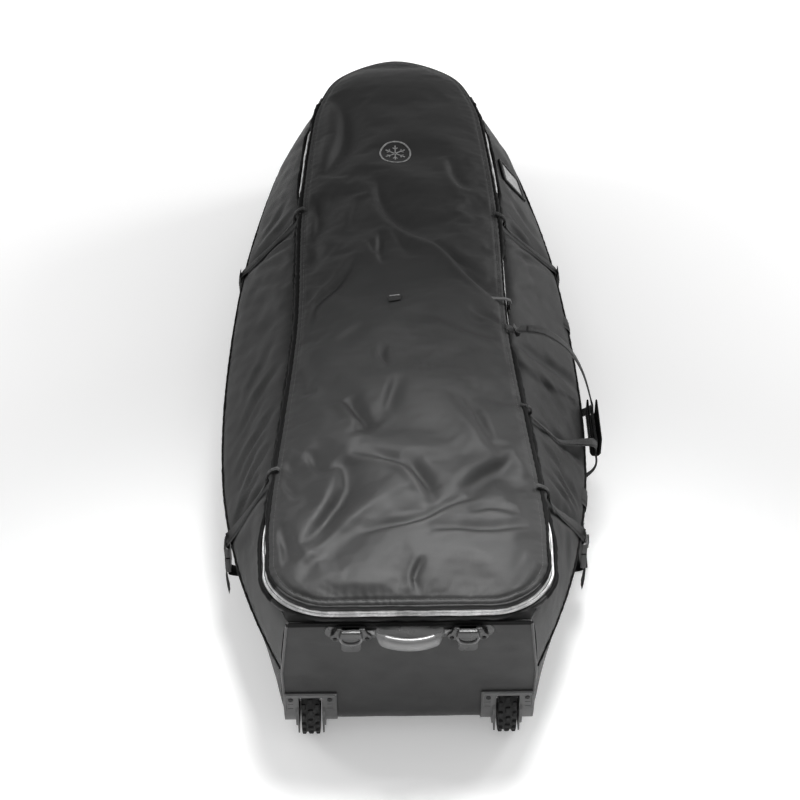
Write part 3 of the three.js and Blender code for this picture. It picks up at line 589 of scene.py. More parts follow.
def coated_cloth():
    """The smooth tarpaulin of the tail: satin, with faint scuffs."""
    g = Graph("coated_cloth", specular=0.36, sheen=0.03, sheen_roughness=0.4)
    cloud = g.noise(5.0, 4.0)
    scuffs = g.noise(90.0, 6.0, 0.75)
    colour = g.shades(cloud, 0.35, 0.65, 27, 32)
    colour = g.mix_colours(g.between(scuffs, 0.0, 0.5, 0.62, 0.8), colour, linear(44))
    rough = g.between(g.noise(22.0, 5.0), 0.4, 0.58, 0.3, 0.7)
    normal = g.bump(g.noise(35.0, 5.0), 1.0, 0.35)
    normal = g.bump(g.threads(1.0), 0.08, 0.5, normal)
    return g.finish(colour, rough, normal)


def webbing_cloth(name="webbing_cloth", dark=13, light=22, rib=2.2, sheen=0.05):
    """Ribbed woven band."""
    g = Graph(name, specular=0.35, sheen=sheen, sheen_roughness=0.5)
    ribs = g.ribs(rib)
    across = g.ribs(1.5, 0)
    fuzz = g.noise(300.0, 3.0)
    colour = g.mix_colours(g.math("MULTIPLY", ribs, fuzz), linear(dark), linear(light))
    rough = g.between(fuzz, 0.55, 0.8, 0.3, 0.7)
    normal = g.bump(across, 0.25, 0.6)
    normal = g.bump(ribs, 0.5, 0.8, normal)
    return g.finish(colour, rough, normal)


def moulded_plastic(name, dark, light, roughness=0.45, grain=0.12, specular=0.5):
    """Injection-moulded plastic with a fine spark-eroded grain and scuffs."""
    g = Graph(name, specular=specular)
    scuffs = g.noise(45.0, 7.0, 0.75)
    colour = g.shades(g.noise(14.0, 3.0), 0.35, 0.65, dark, light)
    colour = g.mix_colours(g.between(scuffs, 0.0, 0.4, 0.62, 0.8), colour, linear(light + 35))
    rough = g.between(scuffs, roughness - 0.08, roughness + 0.12, 0.35, 0.65)
    normal = g.bump(g.noise(1500.0, 2.0), grain, 0.6)
    return g.finish(colour, rough, normal)


def tyre_rubber():
    g = Graph("tyre_rubber", specular=0.35)
    dust = g.noise(60.0, 6.0, 0.7)
    colour = g.shades(dust, 0.5, 0.75, 22, 52)
    normal = g.bump(g.noise(500.0, 3.0), 0.25, 0.5)
    return g.finish(colour, g.between(dust, 0.55, 0.85, 0.3, 0.7), normal)


def metal(name, shade, roughness=0.25):
    g = Graph(name, metallic=1.0)
    marks = g.noise(90.0, 6.0, 0.7)
    colour = g.shades(marks, 0.35, 0.7, shade, int(shade * 0.8))
    rough = g.between(marks, roughness - 0.06, roughness + 0.15, 0.3, 0.7)
    return g.finish(colour, rough, g.bump(marks, 0.15, 0.4))


def zip_tape():
    """The light tape beside the zip's teeth."""
    g = Graph("zip_tape", specular=0.5, roughness=0.45)
    worn = g.noise(35.0, 5.0, 0.7)
    colour = g.shades(worn, 0.38, 0.62, 172, 232)
    normal = g.bump(g.ribs(1.6), 0.3, 0.6)
    return g.finish(colour, g.between(worn, 0.35, 0.6, 0.3, 0.7), normal)


def lining_cloth():
    """Thin quilted lining with diamonds sewn through the foam, painted darker in the sewn grooves as painted
    shade.
    """
    g = Graph("lining_cloth", specular=0.3, sheen=0.2)
    split = g.node("SeparateXYZ", {"Vector": g.place("UV")})
    quilt = None
    for sign in (1, -1):
        diagonal = g.math("ADD", split.outputs[0], g.math("MULTIPLY", split.outputs[1], sign))
        wave = g.math("ABSOLUTE", g.math("SINE", g.math("MULTIPLY", diagonal, math.pi / 0.045)))
        wave = g.math("POWER", wave, 0.4)
        quilt = wave if quilt is None else g.math("MULTIPLY", quilt, wave)
    # Darker where the quilt's grooves are: painted shade in the grooves.
    colour = g.mix_colours(quilt, linear(30), linear(74))
    normal = g.bump(quilt, 2.5, 0.9)
    normal = g.bump(g.threads(1.1), 0.15, 0.6, normal)
    return g.finish(colour, 0.6, normal)


def board_material():
    g = Graph("board_sheet", specular=0.4)
    grain = g.noise(30.0, 6.0, 0.7)
    colour = g.mix_colours(grain, linear(70), linear(92))
    return g.finish(colour, 0.55, g.bump(grain, 0.3, 0.4))


def window_film():
    g = Graph("window_film", specular=0.6, coat=0.4, coat_roughness=0.15)
    haze = g.noise(25.0, 4.0)
    colour = g.mix_colours(haze, linear(40), linear(58))
    return g.finish(colour, g.between(haze, 0.2, 0.4, 0.3, 0.7), g.bump(haze, 0.8, 0.4))


def print_ink():
    g = Graph("badge_print", specular=0.4)
    worn = g.noise(220.0, 4.0)
    colour = g.shades(worn, 0.4, 0.6, 112, 150)
    return g.finish(colour, 0.6, g.bump(worn, 0.1, 0.4))


def thread(name, shade):
    g = Graph(name, specular=0.3, sheen=0.4)
    twist = g.noise(1800.0, 2.0)
    colour = g.mix_colours(twist, linear(shade), linear(shade + 22))
    return g.finish(colour, 0.7, g.bump(twist, 0.15, 0.6))


LID_CLOTH = nylon("lid_cloth", 22, 31, roughness=0.57, sheen=0.03, specular=0.34)
SIDE_CLOTH = nylon("side_cloth", 18, 25, roughness=0.54, sheen=0.02, specular=0.22)
BACK_CLOTH = nylon("back_cloth", 22, 30, roughness=0.56, sheen=0.04, weave=1.6)
# The pipings are near-black, darker than their own nylon: painted shade, as in a shadowed groove. The lighter
# tail piping is the same nylon made lighter as painted light, where the tail's beads face the lamps.
SHADED_PIPING = nylon("piping_cloth", 4, 8, roughness=0.7, sheen=0.0, weave=1.6, specular=0.12)
LIT_TAIL_PIPING = nylon("lit_tail_piping_cloth", 11, 18, roughness=0.55, sheen=0.02, weave=1.6, specular=0.3)
GREY_PIPING = nylon("grey_piping", 66, 84, roughness=0.55, sheen=0.2, weave=1.6)
COATED = coated_cloth()
WEBBING = webbing_cloth()
GREY_LOOP = webbing_cloth("loop_webbing", 52, 76, 1.8)
SATIN_WEBBING = webbing_cloth("satin_webbing", 26, 36, 1.6, 0.15)
PULL_CORD = webbing_cloth("pull_cord", 84, 112, 1.4)
PLASTIC = moulded_plastic("black_moulding", 72, 82, roughness=0.42)
HANDLE_PLASTIC = moulded_plastic("handle_moulding", 34, 42, roughness=0.3)
CAP_RIM = moulded_plastic("cap_rim_moulding", 84, 96, roughness=0.3, grain=0.06)
BUCKLE_PLASTIC = moulded_plastic("buckle_moulding", 14, 20, roughness=0.32, grain=0.05)
GRIP = moulded_plastic("soft_grip_moulding", 88, 104, roughness=0.34, grain=0.08, specular=0.9)
RUBBER = tyre_rubber()
STEEL = metal("bright_steel", 215, 0.2)
DARK_METAL = metal("blackened_metal", 62, 0.3)
ZIP_TAPE = zip_tape()
LINING = lining_cloth()
BOARD = board_material()
FILM = window_film()
INK = print_ink()
BLACK_THREAD = thread("black_thread", 26)
GREY_THREAD = thread("grey_thread", 82)


# ---- The zip's line round the lid ----

def rim_path(step=5.0):
    """Places and level outward directions from the hinge's right end, round the tail, to its left end."""
    ts = shell_edge.t(np.linspace(HINGE_S, 122, 240))
    points, outs = shell_edge.at(ts), shell_edge.out(ts)
    lean = math.atan2(outs[-1, 1], outs[-1, 0])
    angles = np.linspace(lean, -math.pi / 2, 24)[1:]
    arc = np.stack([np.cos(angles), np.sin(angles)], axis=1)
    centre = np.array([points[-1, 0] - RIM_CORNER * outs[-1, 0], RIM_CORNER])
    right = np.concatenate([points, centre + RIM_CORNER * arc])
    whole, whole_out = both_sides(right, np.concatenate([outs, arc]), skip=0)
    lengths = arc_length(whole)
    even = np.linspace(0, lengths[-1], int(lengths[-1] / step) + 1)
    spread = [np.interp(even, lengths, column) for column in (*whole.T, *whole_out.T)]
    return np.stack(spread[:2], axis=1), unit(np.stack(spread[2:], axis=1))


def rim_places(points, outs, depth, lift=0.0):
    """Places on the rim at a depth below the lid's edge, standing off its face by lift."""
    flat = points + outs * (RIM_FLARE * (depth / RIM_HEIGHT - 1) + np.asarray(lift)).reshape(-1, 1)
    return place(flat[:, 0], flat[:, 1], lid_height(flat[:, 1]) - depth)


def level(outs):
    return np.concatenate([outs, np.zeros((len(outs), 1))], axis=1)


def zip_closed(points):
    """How far the two black edges close over the zip tape: 0 where it shows, 1 where it is hidden."""
    s, right = points[:, 1], points[:, 0] > 0
    tail = smoothstep(150, 225, s)
    nose = 1 - smoothstep(985, 1035, s) * (1 - smoothstep(1205, 1235, s))
    ajar = 0.3 * bell(s - 380, 75) * right
    return np.clip(tail * nose - ajar * (0.6 + 0.4 * ripple(s, s * 0, 40, 5)), 0, 1)


RIM, RIM_OUT = rim_path(4.0)
HINGE_GAP = 0.8


def lid_outline():
    """Rows of the lid as (half-width, s), from the tail to the nose."""
    side = RIM[: len(RIM) // 2] - RIM_OUT[: len(RIM) // 2] * RIM_FLARE
    side = side[(RIM_OUT[: len(RIM) // 2, 1] > -0.9995)][::-1]
    ts = np.linspace(shell_edge.t(HINGE_S), 1, 60)
    nose = shell_edge.at(ts) - shell_edge.out(ts) * RIM_FLARE
    nose = nose[(nose[:, 1] > side[-1, 1] + 1) & (nose[:, 0] > 9)]
    return resample(np.concatenate([side, nose]), 4.2)


LID_ROWS = lid_outline()
LID_RING = np.concatenate([LID_ROWS, (LID_ROWS * [-1, 1])[::-1]])[::3]
LID_RING = np.concatenate([LID_RING, LID_RING[:1]])
LID_COLUMNS = 111
LID_PUFF = 8.0
SEAM_IN = 9.0
PUCKERS_ROUND_LID = 3300 / 13
FOLD_SHARE = 1.15

# Folds of the lid: points (x, s), half width, depth and, on some, the share of the raised shoulder.
# A negative depth is a raised ridge.
LID_FOLDS = [
    ([(-34, 1018), (-30, 950), (-10, 895), (22, 856), (60, 826)], 13, 9),
    ([(48, 834), (90, 790), (142, 738)], 5, 3),
    ([(-122, 1300), (-98, 1250), (-96, 1165), (-110, 1095), (-132, 1030)], 16, 14),
    ([(-150, 985), (-138, 905), (-150, 840)], 12, 10),
    ([(-165, 870), (-152, 815), (-170, 755)], 10, 9),
    ([(-70, 960), (-80, 905), (-86, 860)], 8, 3),
    ([(-52, 828), (-46, 790)], 5, 4.5),
    ([(-34, 852), (-36, 800), (-30, 762)], 6, 6),
    ([(-16, 872), (8, 812), (18, 780)], 11, 4),
    ([(-72, 790), (-105, 728), (-142, 680), (-150, 640), (-160, 602)], 6, 6),
    ([(-152, 720), (-185, 655)], 10, 9),
    ([(-196, 625), (-183, 580), (-190, 545), (-172, 485), (-160, 442)], 9, 11),
    ([(-192, 480), (-196, 410), (-202, 350)], 11, 10),
    ([(-206, 348), (-194, 312), (-172, 268)], 6, 6),
    ([(-208, 306), (-192, 262), (-168, 216)], 5, 6),
    ([(-92, 432), (-78, 400), (-64, 372), (-72, 345)], 9, 11),
    ([(-28, 562), (-36, 532), (-24, 500)], 5, 5.5),
    ([(-8, 476), (-32, 392)], 9, 4.5, 0.2),
    ([(-150, 320), (-128, 258)], 8, 5),
    ([(-96, 292), (-92, 232), (-118, 168), (-156, 108)], 13, 12, 0.15),
    ([(-86, 302), (-40, 292), (0, 270), (28, 232), (40, 186)], 8, 8),
    ([(-72, 136), (-20, 144), (24, 158), (62, 186), (106, 206)], 7, 7),
    ([(30, 132), (80, 138), (130, 140), (182, 150)], 7, 5),
    ([(92, 172), (130, 182), (170, 172)], 6, 3.5),
    ([(-186, 56), (-110, 138), (-52, 192), (12, 236)], 17, -6),
    ([(-198, 165), (-184, 120), (-178, 78)], 9, 9),
    ([(22, 82), (8, 50), (12, 18)], 4.5, 4.5, 0.2),
    ([(95, 1080), (100, 1030), (118, 985)], 9, 6),
    ([(96, 432), (112, 386), (132, 330)], 6, 5.5),
    ([(70, 446), (118, 352), (152, 290)], 9, 4.5),
    ([(0, 300), (38, 215)], 10, 6),
    ([(172, 296), (130, 262), (84, 214)], 14, 9),
    ([(46, 640), (100, 600), (160, 578)], 8, 4),
    ([(110, 650), (165, 628), (178, 600)], 5, 4.5),
    ([(-60, 604), (-110, 562)], 10, 3),
    ([(78, 800), (122, 735), (160, 690)], 6, 5),
    ([(-20, 640), (60, 660), (120, 640)], 16, -4),
]


def strap_hold(s, x, half):
    """1 where a strap holds the cloth down near the lid's edge."""
    near_edge = smoothstep(75, 40, half - np.abs(x))
    held = sum((x * side > 0) * bell(s - STRAP_S[row] - slant, 22)
               for (row, side), slant in STRAP_SLANT.items())
    held = held + (x > 0) * sum(bell(s - at, 14) for at in (CARRY_UPPER_S, CARRY_LOWER_S))
    return np.clip(held * near_edge, 0, 1)


# The simulated cloth: how much too large it is cut, how long it settles, and how far it may rise.
SLACK_SHARE = 0.009
SLACK_FRAMES = 26
SLACK_LIMIT = 5.0
# Its rows along s, and its columns from -1 to 1 across the lid.
SLACK_ROWS = np.arange(14, 1421, 8.0)
SLACK_COLUMNS = np.linspace(-1, 1, 59)
lid_slack = np.zeros((len(SLACK_ROWS), len(SLACK_COLUMNS)))


def slack_at(x, s, half):
    """How far the simulated slack lifts the cloth there, in millimetres."""
    rows, columns = lid_slack.shape
    r = np.clip(np.interp(s, SLACK_ROWS, np.arange(rows)), 0, rows - 1.001)
    c = np.clip((x / np.maximum(half - 5, 5) + 1) / 2 * (columns - 1), 0, columns - 1.001)
    i, j = r.astype(int), c.astype(int)
    low = mix(lid_slack[i, j], lid_slack[i, j + 1], c - j)
    return mix(low, mix(lid_slack[i + 1, j], lid_slack[i + 1, j + 1], c - j), r - i)


def simulate_lid_slack():
    """A short cloth simulation: the lid's cloth is cut a little too large for its seams, so it buckles."""
    half = np.interp(SLACK_ROWS, LID_ROWS[:, 1], LID_ROWS[:, 0])[:, None]
    x = (half - 5) * SLACK_COLUMNS[None, :]
    s = np.broadcast_to(SLACK_ROWS[:, None], x.shape)
    start = lid_top(x, s)
    sheet = make_piece("slack_sheet", place(x, s, start).reshape(-1, 3), grid_quads(*x.shape), LID_CLOTH)
    border = np.zeros(x.shape, bool)
    border[[0, -1], :] = border[:, [0, -1]] = True
    held = border | (strap_hold(s, x, half) > 0.5)
    held |= (s > HINGE_S + 60) & (np.abs(x) > half - 30)
    sheet.vertex_groups.new(name="held").add(np.flatnonzero(held).tolist(), 1.0, "REPLACE")
    cloth = sheet.modifiers.new("cloth", "CLOTH")
    setup = cloth.settings
    setup.quality, setup.mass, setup.air_damping = 6, 0.25, 1.5
    setup.tension_stiffness = setup.compression_stiffness = 12
    setup.shear_stiffness, setup.bending_stiffness = 4, 0.6
    setup.vertex_group_mass, setup.pin_stiffness = "held", 5
    setup.shrink_min = setup.shrink_max = -SLACK_SHARE
    setup.effector_weights.gravity = 0
    cloth.point_cache.frame_start, cloth.point_cache.frame_end = 1, SLACK_FRAMES
    for step in range(1, SLACK_FRAMES + 1):
        bpy.context.scene.frame_set(step)
    solved = sheet.evaluated_get(bpy.context.evaluated_depsgraph_get()).data
    points = np.empty(len(solved.vertices) * 3)
    solved.vertices.foreach_get("co", points)
    rise = points.reshape(*x.shape, 3)[..., 2] / MM - start
    bpy.context.scene.frame_set(1)
    bpy.data.objects.remove(sheet)
    return np.clip(rise, -SLACK_LIMIT, SLACK_LIMIT)


def lid_top(x, s):
    """Height of the lid's cloth, with its folds and its seam."""
    half = np.interp(s, LID_ROWS[:, 1], LID_ROWS[:, 0])
    edge, _, along = nearest_on_path(x, s, LID_RING)
    crown = LID_CROWN * (1 - (x / np.maximum(half, 30)) ** 2) * np.minimum(1, s / 160)
    crown *= smoothstep(0, 150, LENGTH + 5 - s)
    hold = strap_hold(s, x, half)
    puff = LID_PUFF * (1 - np.exp(-edge / 20)) * (1 - hold) - 2.5 * np.exp(-edge / 3)
    seam = -1.6 * bell(edge - SEAM_IN, 2.4)
    turns = along * PUCKERS_ROUND_LID
    puckers = 0.7 * np.exp(-edge / 16) * np.sin(turns * 2 * math.pi + 3 * ripple(x, s, 60, 3))
    inside = smoothstep(6, 34, edge)
    folds = FOLD_SHARE * sum(fold(x, s, *line) for line in LID_FOLDS)
    calm = mix(1.0, 0.45, smoothstep(1000, 1200, s))
    waves = 2.2 * ripple(x, s, 150, 11) + 1.0 * ripple(x, s * 0.7, 60, 12) + 0.28 * ripple(x, s, 24, 13)
    loose = slack_at(x, s, half) * calm
    return lid_height(s) + crown + puff + seam + puckers + (folds + waves * calm) * inside + loose


def make_lid_cloth():
    half, s = LID_ROWS[:, :1], LID_ROWS[:, 1:]
    f = np.linspace(-1, 1, LID_COLUMNS)[None, :]
    x = half * f
    s = np.broadcast_to(s, x.shape)
    top = lid_top(x, s)
    floor = np.minimum(lid_height(s) + 0.8 * (top - lid_height(s)) - 4, top - 2.5)
    lid = slab("lid_cloth", place(x, s, top), place(x, s, floor), LID_CLOTH)
    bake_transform(lid)
    describe(lid, "black_nylon", "lid_panel", "lid_nose", fill=0.3)


def make_lid_lining():
    rows = LID_ROWS[(LID_ROWS[:, 1] > 20) & (LID_ROWS[:, 1] < HINGE_S - 8)]
    f = np.linspace(-1, 1, 61)[None, :]
    x, s = (rows[:, :1] - 16) * f, np.broadcast_to(rows[:, 1:], (len(rows), 61))
    half = lid_half(s)
    crown = LID_CROWN * (1 - (x / half) ** 2) * np.minimum(1, s / 160)
    quilt = 1.2 * np.abs(np.sin((x + s) * math.pi / 45) * np.sin((x - s) * math.pi / 45)) ** 0.5
    top = np.minimum(lid_height(s) + crown - 7.5, lid_top(x, s) - 9.0)
    lining = slab("lid_lining_quilt", place(x, s, top), place(x, s, top - 1.6 - quilt), LINING)
    put(lining, "lid", "lining_foam", "lid_lining", fill=0.2)


# How far the open zip's lower edge stands out at the sides, and the step along the teeth.
RIM_SPREAD = 7.5
TOOTH_STEP = 1.3


def pinched(points):
    """How far straps, loops and the slider's run press the beads in, from 0 to 1."""
    s, right = points[:, 1], points[:, 0] > 0
    held = sum((right if side > 0 else ~right) * bell(s - STRAP_S[row] - slant, 13)
               for (row, side), slant in STRAP_SLANT.items())
    held = held + right * 0.8 * bell(s - CARRY_UPPER_S, 14)
    run = right * smoothstep(560, 585, s) * smoothstep(838, 812, s)
    return np.clip(np.maximum(held, run), 0, 1)


def make_rim():
    """The two beaded edges, with painted shade at the sides and painted light at the tail, and the light tape
    between them, with the zip's teeth.
    """
    sides = 14
    closed, pinch = zip_closed(RIM), pinched(RIM)
    normals = level(RIM_OUT)
    lengths, zero = arc_length(RIM), np.zeros(len(RIM))
    angles = np.arange(sides) * 2 * math.pi / sides
    at_side = np.abs(RIM_OUT[:, 0]) ** 2
    spread = RIM_SPREAD * (1 - closed) * at_side
    for name, node, body, depth, top, bottom, shift, seed in (
            ("lid_edge_bead", "lid_edge_binding", "lid", 5.0,
             -5.0 + zero, 5.0 + 5.2 * closed * (1 - 0.45 * pinch), 0.8, 21),
            ("shell_edge_bead", "shell_edge_binding", "shell", 25.6,
             -4.5 - 5.2 * closed, 4.6 + zero, 2.2, 22)):
        gather = 1 + 0.16 * ripple(lengths, zero, 15, seed) + 0.12 * ripple(lengths, zero, 60, seed + 5)
        middle, radius = (top + bottom) / 2, (bottom - top) / 2
        across = middle[:, None] + radius[:, None] * np.sign(np.cos(angles)) * np.abs(np.cos(angles)) ** 0.7
        plump = (3.2 + 2.6 * closed * at_side) * (1 - 0.6 * pinch)
        out = (plump * gather)[:, None] * np.sin(angles)
        wander = 0.7 * (1 - pinch) * ripple(lengths, zero, 80, seed + 9)
        lift = shift * at_side * (1 - 0.8 * pinch) + wander
        lift = lift + (spread if body == "shell" else 0) - 1.0 - 0.8 * pinch
        path = rim_places(RIM, RIM_OUT, depth, lift)
        profile = np.stack([across, out], axis=-1)
        # The tail's run of each bead takes the lighter piping as painted light; the sides keep the darker
        # piping as painted shade.
        first, last = np.flatnonzero(RIM[:, 1] < 45)[[0, -1]]
        runs = ((0, first + 1, SHADED_PIPING), (first, last + 1, LIT_TAIL_PIPING), (last, len(RIM), SHADED_PIPING))
        beads = [sweep(f"{name}_{k}", path[a:b], normals[a:b], profile[a:b], material, smooth_angle=60)
                 for k, (a, b, material) in enumerate(runs)]
        put(joined(name, beads), body, "webbing", node)
    fine, fine_out = rim_path(TOOTH_STEP)
    fine_spread = RIM_SPREAD * (1 - zip_closed(fine)) * np.abs(fine_out[:, 0]) ** 2
    for name, node, body, depth, tooth, share in (
            ("zip_tape_lid", "zip_track_lid", "lid", 12.9, 15.0, 0.35),
            ("zip_tape_shell", "zip_track_shell", "shell", 18.4, 16.4, 0.75)):
        wave = 0.5 * ripple(lengths, zero, 70, 26) * (1 - closed)
        path = rim_places(RIM, RIM_OUT, depth, spread * share - 1.4 + wave)
        tape = sweep(name, path, normals, flat_profile(5.4, 2.4), ZIP_TAPE)
        teeth = 0.85 + 0.3 * np.cos(np.arange(len(fine)) * 2 * math.pi / 3)
        profile = round_profile(0.9, 0.9, 6)[None] * teeth[:, None, None]
        path = rim_places(fine, fine_out, tooth, fine_spread * 0.55 - 0.1)
        coil = sweep(name + "_teeth", path, level(fine_out), profile, ZIP_TAPE)
        put(joined(name + "_with_teeth", [tape, coil]), body, "zip_tape", node)


def make_nose_piping():
    """Where the lid is sewn down round the nose: a skirt of cloth between two pipings."""
    ts = np.linspace(shell_edge.t(HINGE_S + HINGE_GAP), 1, 70)
    points, outs = both_sides(shell_edge.at(ts), shell_edge.out(ts))
    normals = level(outs)
    skirt = sweep("nose_skirt", rim_places(points, outs, 15.5, -3.0), normals, flat_profile(27, 6),
                  SIDE_CLOTH)
    put(skirt, "shell", "black_nylon")
    for name, depth, lift in (("nose_piping_upper", 4.0, -1.5), ("nose_piping_lower", 26.0, -1.0)):
        path = rim_places(points, outs, depth, lift)
        put(sweep(name, path, normals, round_profile(3.4, 3.2, 12), SHADED_PIPING), "shell", "webbing")


# ---- Stitching ----

def stitches(name, path, normals, length, gap, width, material):
    """A row of short raised stitches along a path."""
    path = resample(np.concatenate([path, normals], axis=1), (length + gap) / 2)
    points, faces = [], []
    ring = [(-1, 0), (-0.6, 0.8), (0.6, 0.8), (1, 0)]
    for i in range(0, len(path) - 1, 2):
        a, b, n = path[i, :3], path[i + 1, :3], unit(path[i, 3:])
        along = unit(b - a)
        across = np.cross(n, along) * width / 2
        start, end = a, a + along * length
        first = len(points)
        for end_point, rise in ((start, -0.2), (mix(start, end, 0.5), 0.35), (end, -0.2)):
            points += [end_point + across * p + n * (q * width * 0.5 + rise) for p, q in ring]
        for r in (0, 4):
            for c in range(4):
                d = (c + 1) % 4
                faces.append([first + r + c, first + r + d, first + r + 4 + d, first + r + 4 + c])
        faces += [[first + c for c in range(4)], [first + 8 + c for c in (3, 2, 1, 0)]]
    return make_piece(name, points, faces, material, np.zeros((len(points), 2)))


def make_zip_stops():
    """The sewn patches where the zip ends on each side of the nose."""
    ts = np.linspace(shell_edge.t(HINGE_S + 1.2), shell_edge.t(HINGE_S + 25), 12)
    for name, side in SIDES:
        points, outs = shell_edge.at(ts) * [side, 1], shell_edge.out(ts) * [side, 1]
        normals = level(outs)
        path = rim_places(points, outs, 15.5, 1.0)
        shape = [(-11, 0.4), (-10, 2.6), (0, 3.2), (10, 2.6), (11, 0.4), (11, -1.5), (-11, -1.5)]
        patch = sweep(f"zip_stop_patch_{name}", path, normals, shape, SATIN_WEBBING)
        seams = [patch]
        for depth in (8.5, 22.5):
            line = rim_places(points[1:-1], outs[1:-1], depth, 3.9)
            seams.append(stitches(f"zip_stop_seam_{name}_{depth}", line, normals[1:-1], 3.0, 1.6, 0.9,
                                  GREY_THREAD))
        put(joined(f"zip_stop_{name}", seams), "shell", "webbing")


def make_lid_stitching():
    """The sewn line inside the lid's edge."""
    inside = RIM - RIM_OUT * (RIM_FLARE + SEAM_IN)
    keep = inside[:, 1] < HINGE_S - 60
    inside = inside[keep]
    z = lid_top(inside[:, 0], inside[:, 1])
    path = place(inside[:, 0], inside[:, 1], z + 0.35)
    normals = np.broadcast_to(UP, path.shape)
    put(stitches("lid_seam_stitches", path, normals, 3.4, 1.8, 0.9, BLACK_THREAD), "lid", "black_nylon")


def make_corner_gussets():
    """The cloth that fills each tail corner, between the rounded rim and the bag's square top edge."""
    for name, side in SIDES:
        rim = (RIM[:, 0] * side > 0) & (RIM[:, 1] < 118)
        points, outs = RIM[rim], RIM_OUT[rim]
        keep = np.abs(points[:, 0]) > 100
        points, outs = points[keep], outs[keep]
        reach = np.zeros(len(points))
        for step in np.arange(0, 60, 0.5):
            tip = points + outs * step
            inside = (tip[:, 1] > 0.6) & (np.abs(tip[:, 0]) < shell_edge.half_width(tip[:, 1]) - 0.4)
            reach = np.where(inside, np.maximum(reach, step), reach)
        f = np.linspace(0, 1, 9)[None, :]
        flat = points[:, None] + outs[:, None] * (reach[:, None] * f)[..., None]
        puff = 3.5 * np.sin(f * math.pi) * np.minimum(reach / 14, 1)[:, None]
        wrinkle = 0.8 * ripple(flat[..., 0], flat[..., 1], 26, 90 + side) * np.sin(f * math.pi)
        z = lid_height(flat[..., 1]) - mix(21.0, RIM_HEIGHT + 0.5, f) + puff + wrinkle
        top = place(flat[..., 0], flat[..., 1], z)
        put(slab(f"corner_gusset_{name}", top, top - UP * 5, SIDE_CLOTH), "shell", "black_nylon", fill=0.2)


# ---- Badge and tab on the lid ----

def on_lid(x, s, lift):
    z = lid_top(np.atleast_1d(np.asarray(x, float)), np.atleast_1d(np.asarray(s, float)))
    return place(x, s, z + lift)


def flat_print(name, outline_in, outline_out, material, thickness=0.5, lift=0.15, centre=(0, 0), around=True):
    """A thin print on the lid's cloth between two matching outlines, given as (x, s) round a centre."""
    rings = [mix(np.array(outline_in, float), np.array(outline_out, float), f) + centre for f in (0, 0.5, 1)]
    if around:
        rings = [np.concatenate([ring, ring[:1]]) for ring in rings]
    top = np.stack([on_lid(ring[:, 0], ring[:, 1], lift + thickness) for ring in rings], axis=1)
    bottom = top - UP * (thickness + 1.5)
    return slab(name, top, bottom, material)


def printed_bar(name, start, end, width, centre):
    """A straight printed bar on the lid between two points (x, s) given from a centre."""
    line = resample([start, end], 2.0)
    along = unit(line[-1] - line[0])
    across = np.array([-along[1], along[0]]) * width / 2
    return flat_print(name, line - across, line + across, INK, centre=centre, around=False)


BADGE_X = -5
BADGE_S = 1092
BADGE_STRETCH = 1.12


def make_badge():
    """A plain round badge: a ring round a six-armed snow star."""
    centre = np.array([BADGE_X, BADGE_S])
    angles = np.linspace(0, 2 * math.pi, 49)[:-1]
    circle = np.stack([np.cos(angles), BADGE_STRETCH * np.sin(angles)], axis=1)
    parts = [flat_print("badge_ring", circle * 26, circle * 29, INK, centre=centre)]
    for k in range(6):
        turn = k * math.pi / 3 + math.pi / 2
        arm = np.array([math.cos(turn), math.sin(turn)])
        parts.append(printed_bar(f"badge_arm_{k}", arm * 1.5, arm * 20, 2.2, centre))
        for bend in (-1, 1):
            branch = np.array([math.cos(turn + bend * 0.8), math.sin(turn + bend * 0.8)])
            parts.append(printed_bar(f"badge_branch_{k}_{bend}", arm * 11, arm * 11 + branch * 6, 1.6,
                                     centre))
    put(joined("round_badge", parts), "lid", "webbing")


def make_tab():
    """A small sewn tab with a light bar."""
    x0, s0, wide, long, bar_wide = -12, 682, 24, 17, 17
    f = np.linspace(-0.5, 0.5, 9)
    rows = np.linspace(0, 1, 7)
    grid = np.stack([on_lid(x0 + f * wide * (1 - 0.18 * r), np.full(9, s0 - r * long),
                            1.0 + 2.4 * math.sin(r * 2.6)) for r in rows])
    tab = slab("lid_tab", grid, grid - UP * 1.6, WEBBING)
    bar = np.stack([on_lid(x0 + f * bar_wide, np.full(9, s0 + 1 + d), 2.0) for d in (-1.3, 1.3)])
    put(joined("sewn_tab", [tab, slab("lid_tab_bar", bar, bar - UP * 1.2, INK)]), "lid", "webbing")


# ---- Sides ----

PANEL_START = 1.5
SIDE_COLUMNS = 25

# Drag folds of the upper side panels: points (distance along the panel, distance below its top edge),
# half width, depth.
DRAG_FOLDS = [
    ([(322, 8), (306, 44), (292, 92)], 5, 3.5),
    ([(352, 30), (330, 66), (300, 112)], 5, 4),
    ([(410, 4), (372, 52), (318, 104)], 6, 4.5),
    ([(446, 22), (404, 58), (352, 96)], 5, 3),
    ([(505, 8), (452, 58), (388, 118)], 7, 4.5),
    ([(540, 40), (500, 72), (462, 92)], 6, 2.5),
    ([(610, 12), (556, 66), (470, 124)], 8, 4),
    ([(668, 44), (630, 78), (560, 116)], 8, 2.5),
    ([(912, 6), (922, 46), (932, 100)], 7, 5),
    ([(868, 14), (892, 48), (918, 108)], 8, 5.5),
    ([(822, 34), (862, 74), (902, 120)], 7, 3),
    ([(972, 6), (962, 52), (952, 96)], 7, 5),
    ([(1014, 10), (990, 52), (962, 112)], 9, 5),
    ([(1072, 26), (1040, 62), (992, 104)], 8, 3),
    ([(770, 8), (786, 46), (830, 88)], 10, 3),
    ([(716, 10), (728, 40), (724, 82)], 11, 2.5),
]


def lower_edge(s):
    inside = CORNER_RADIUS - PANEL - 0.3
    reach = np.clip(CORNER_RADIUS - s, 0, inside)
    return underside(s) + CORNER_RADIUS - np.sqrt(inside**2 - reach**2 + 1e-6)


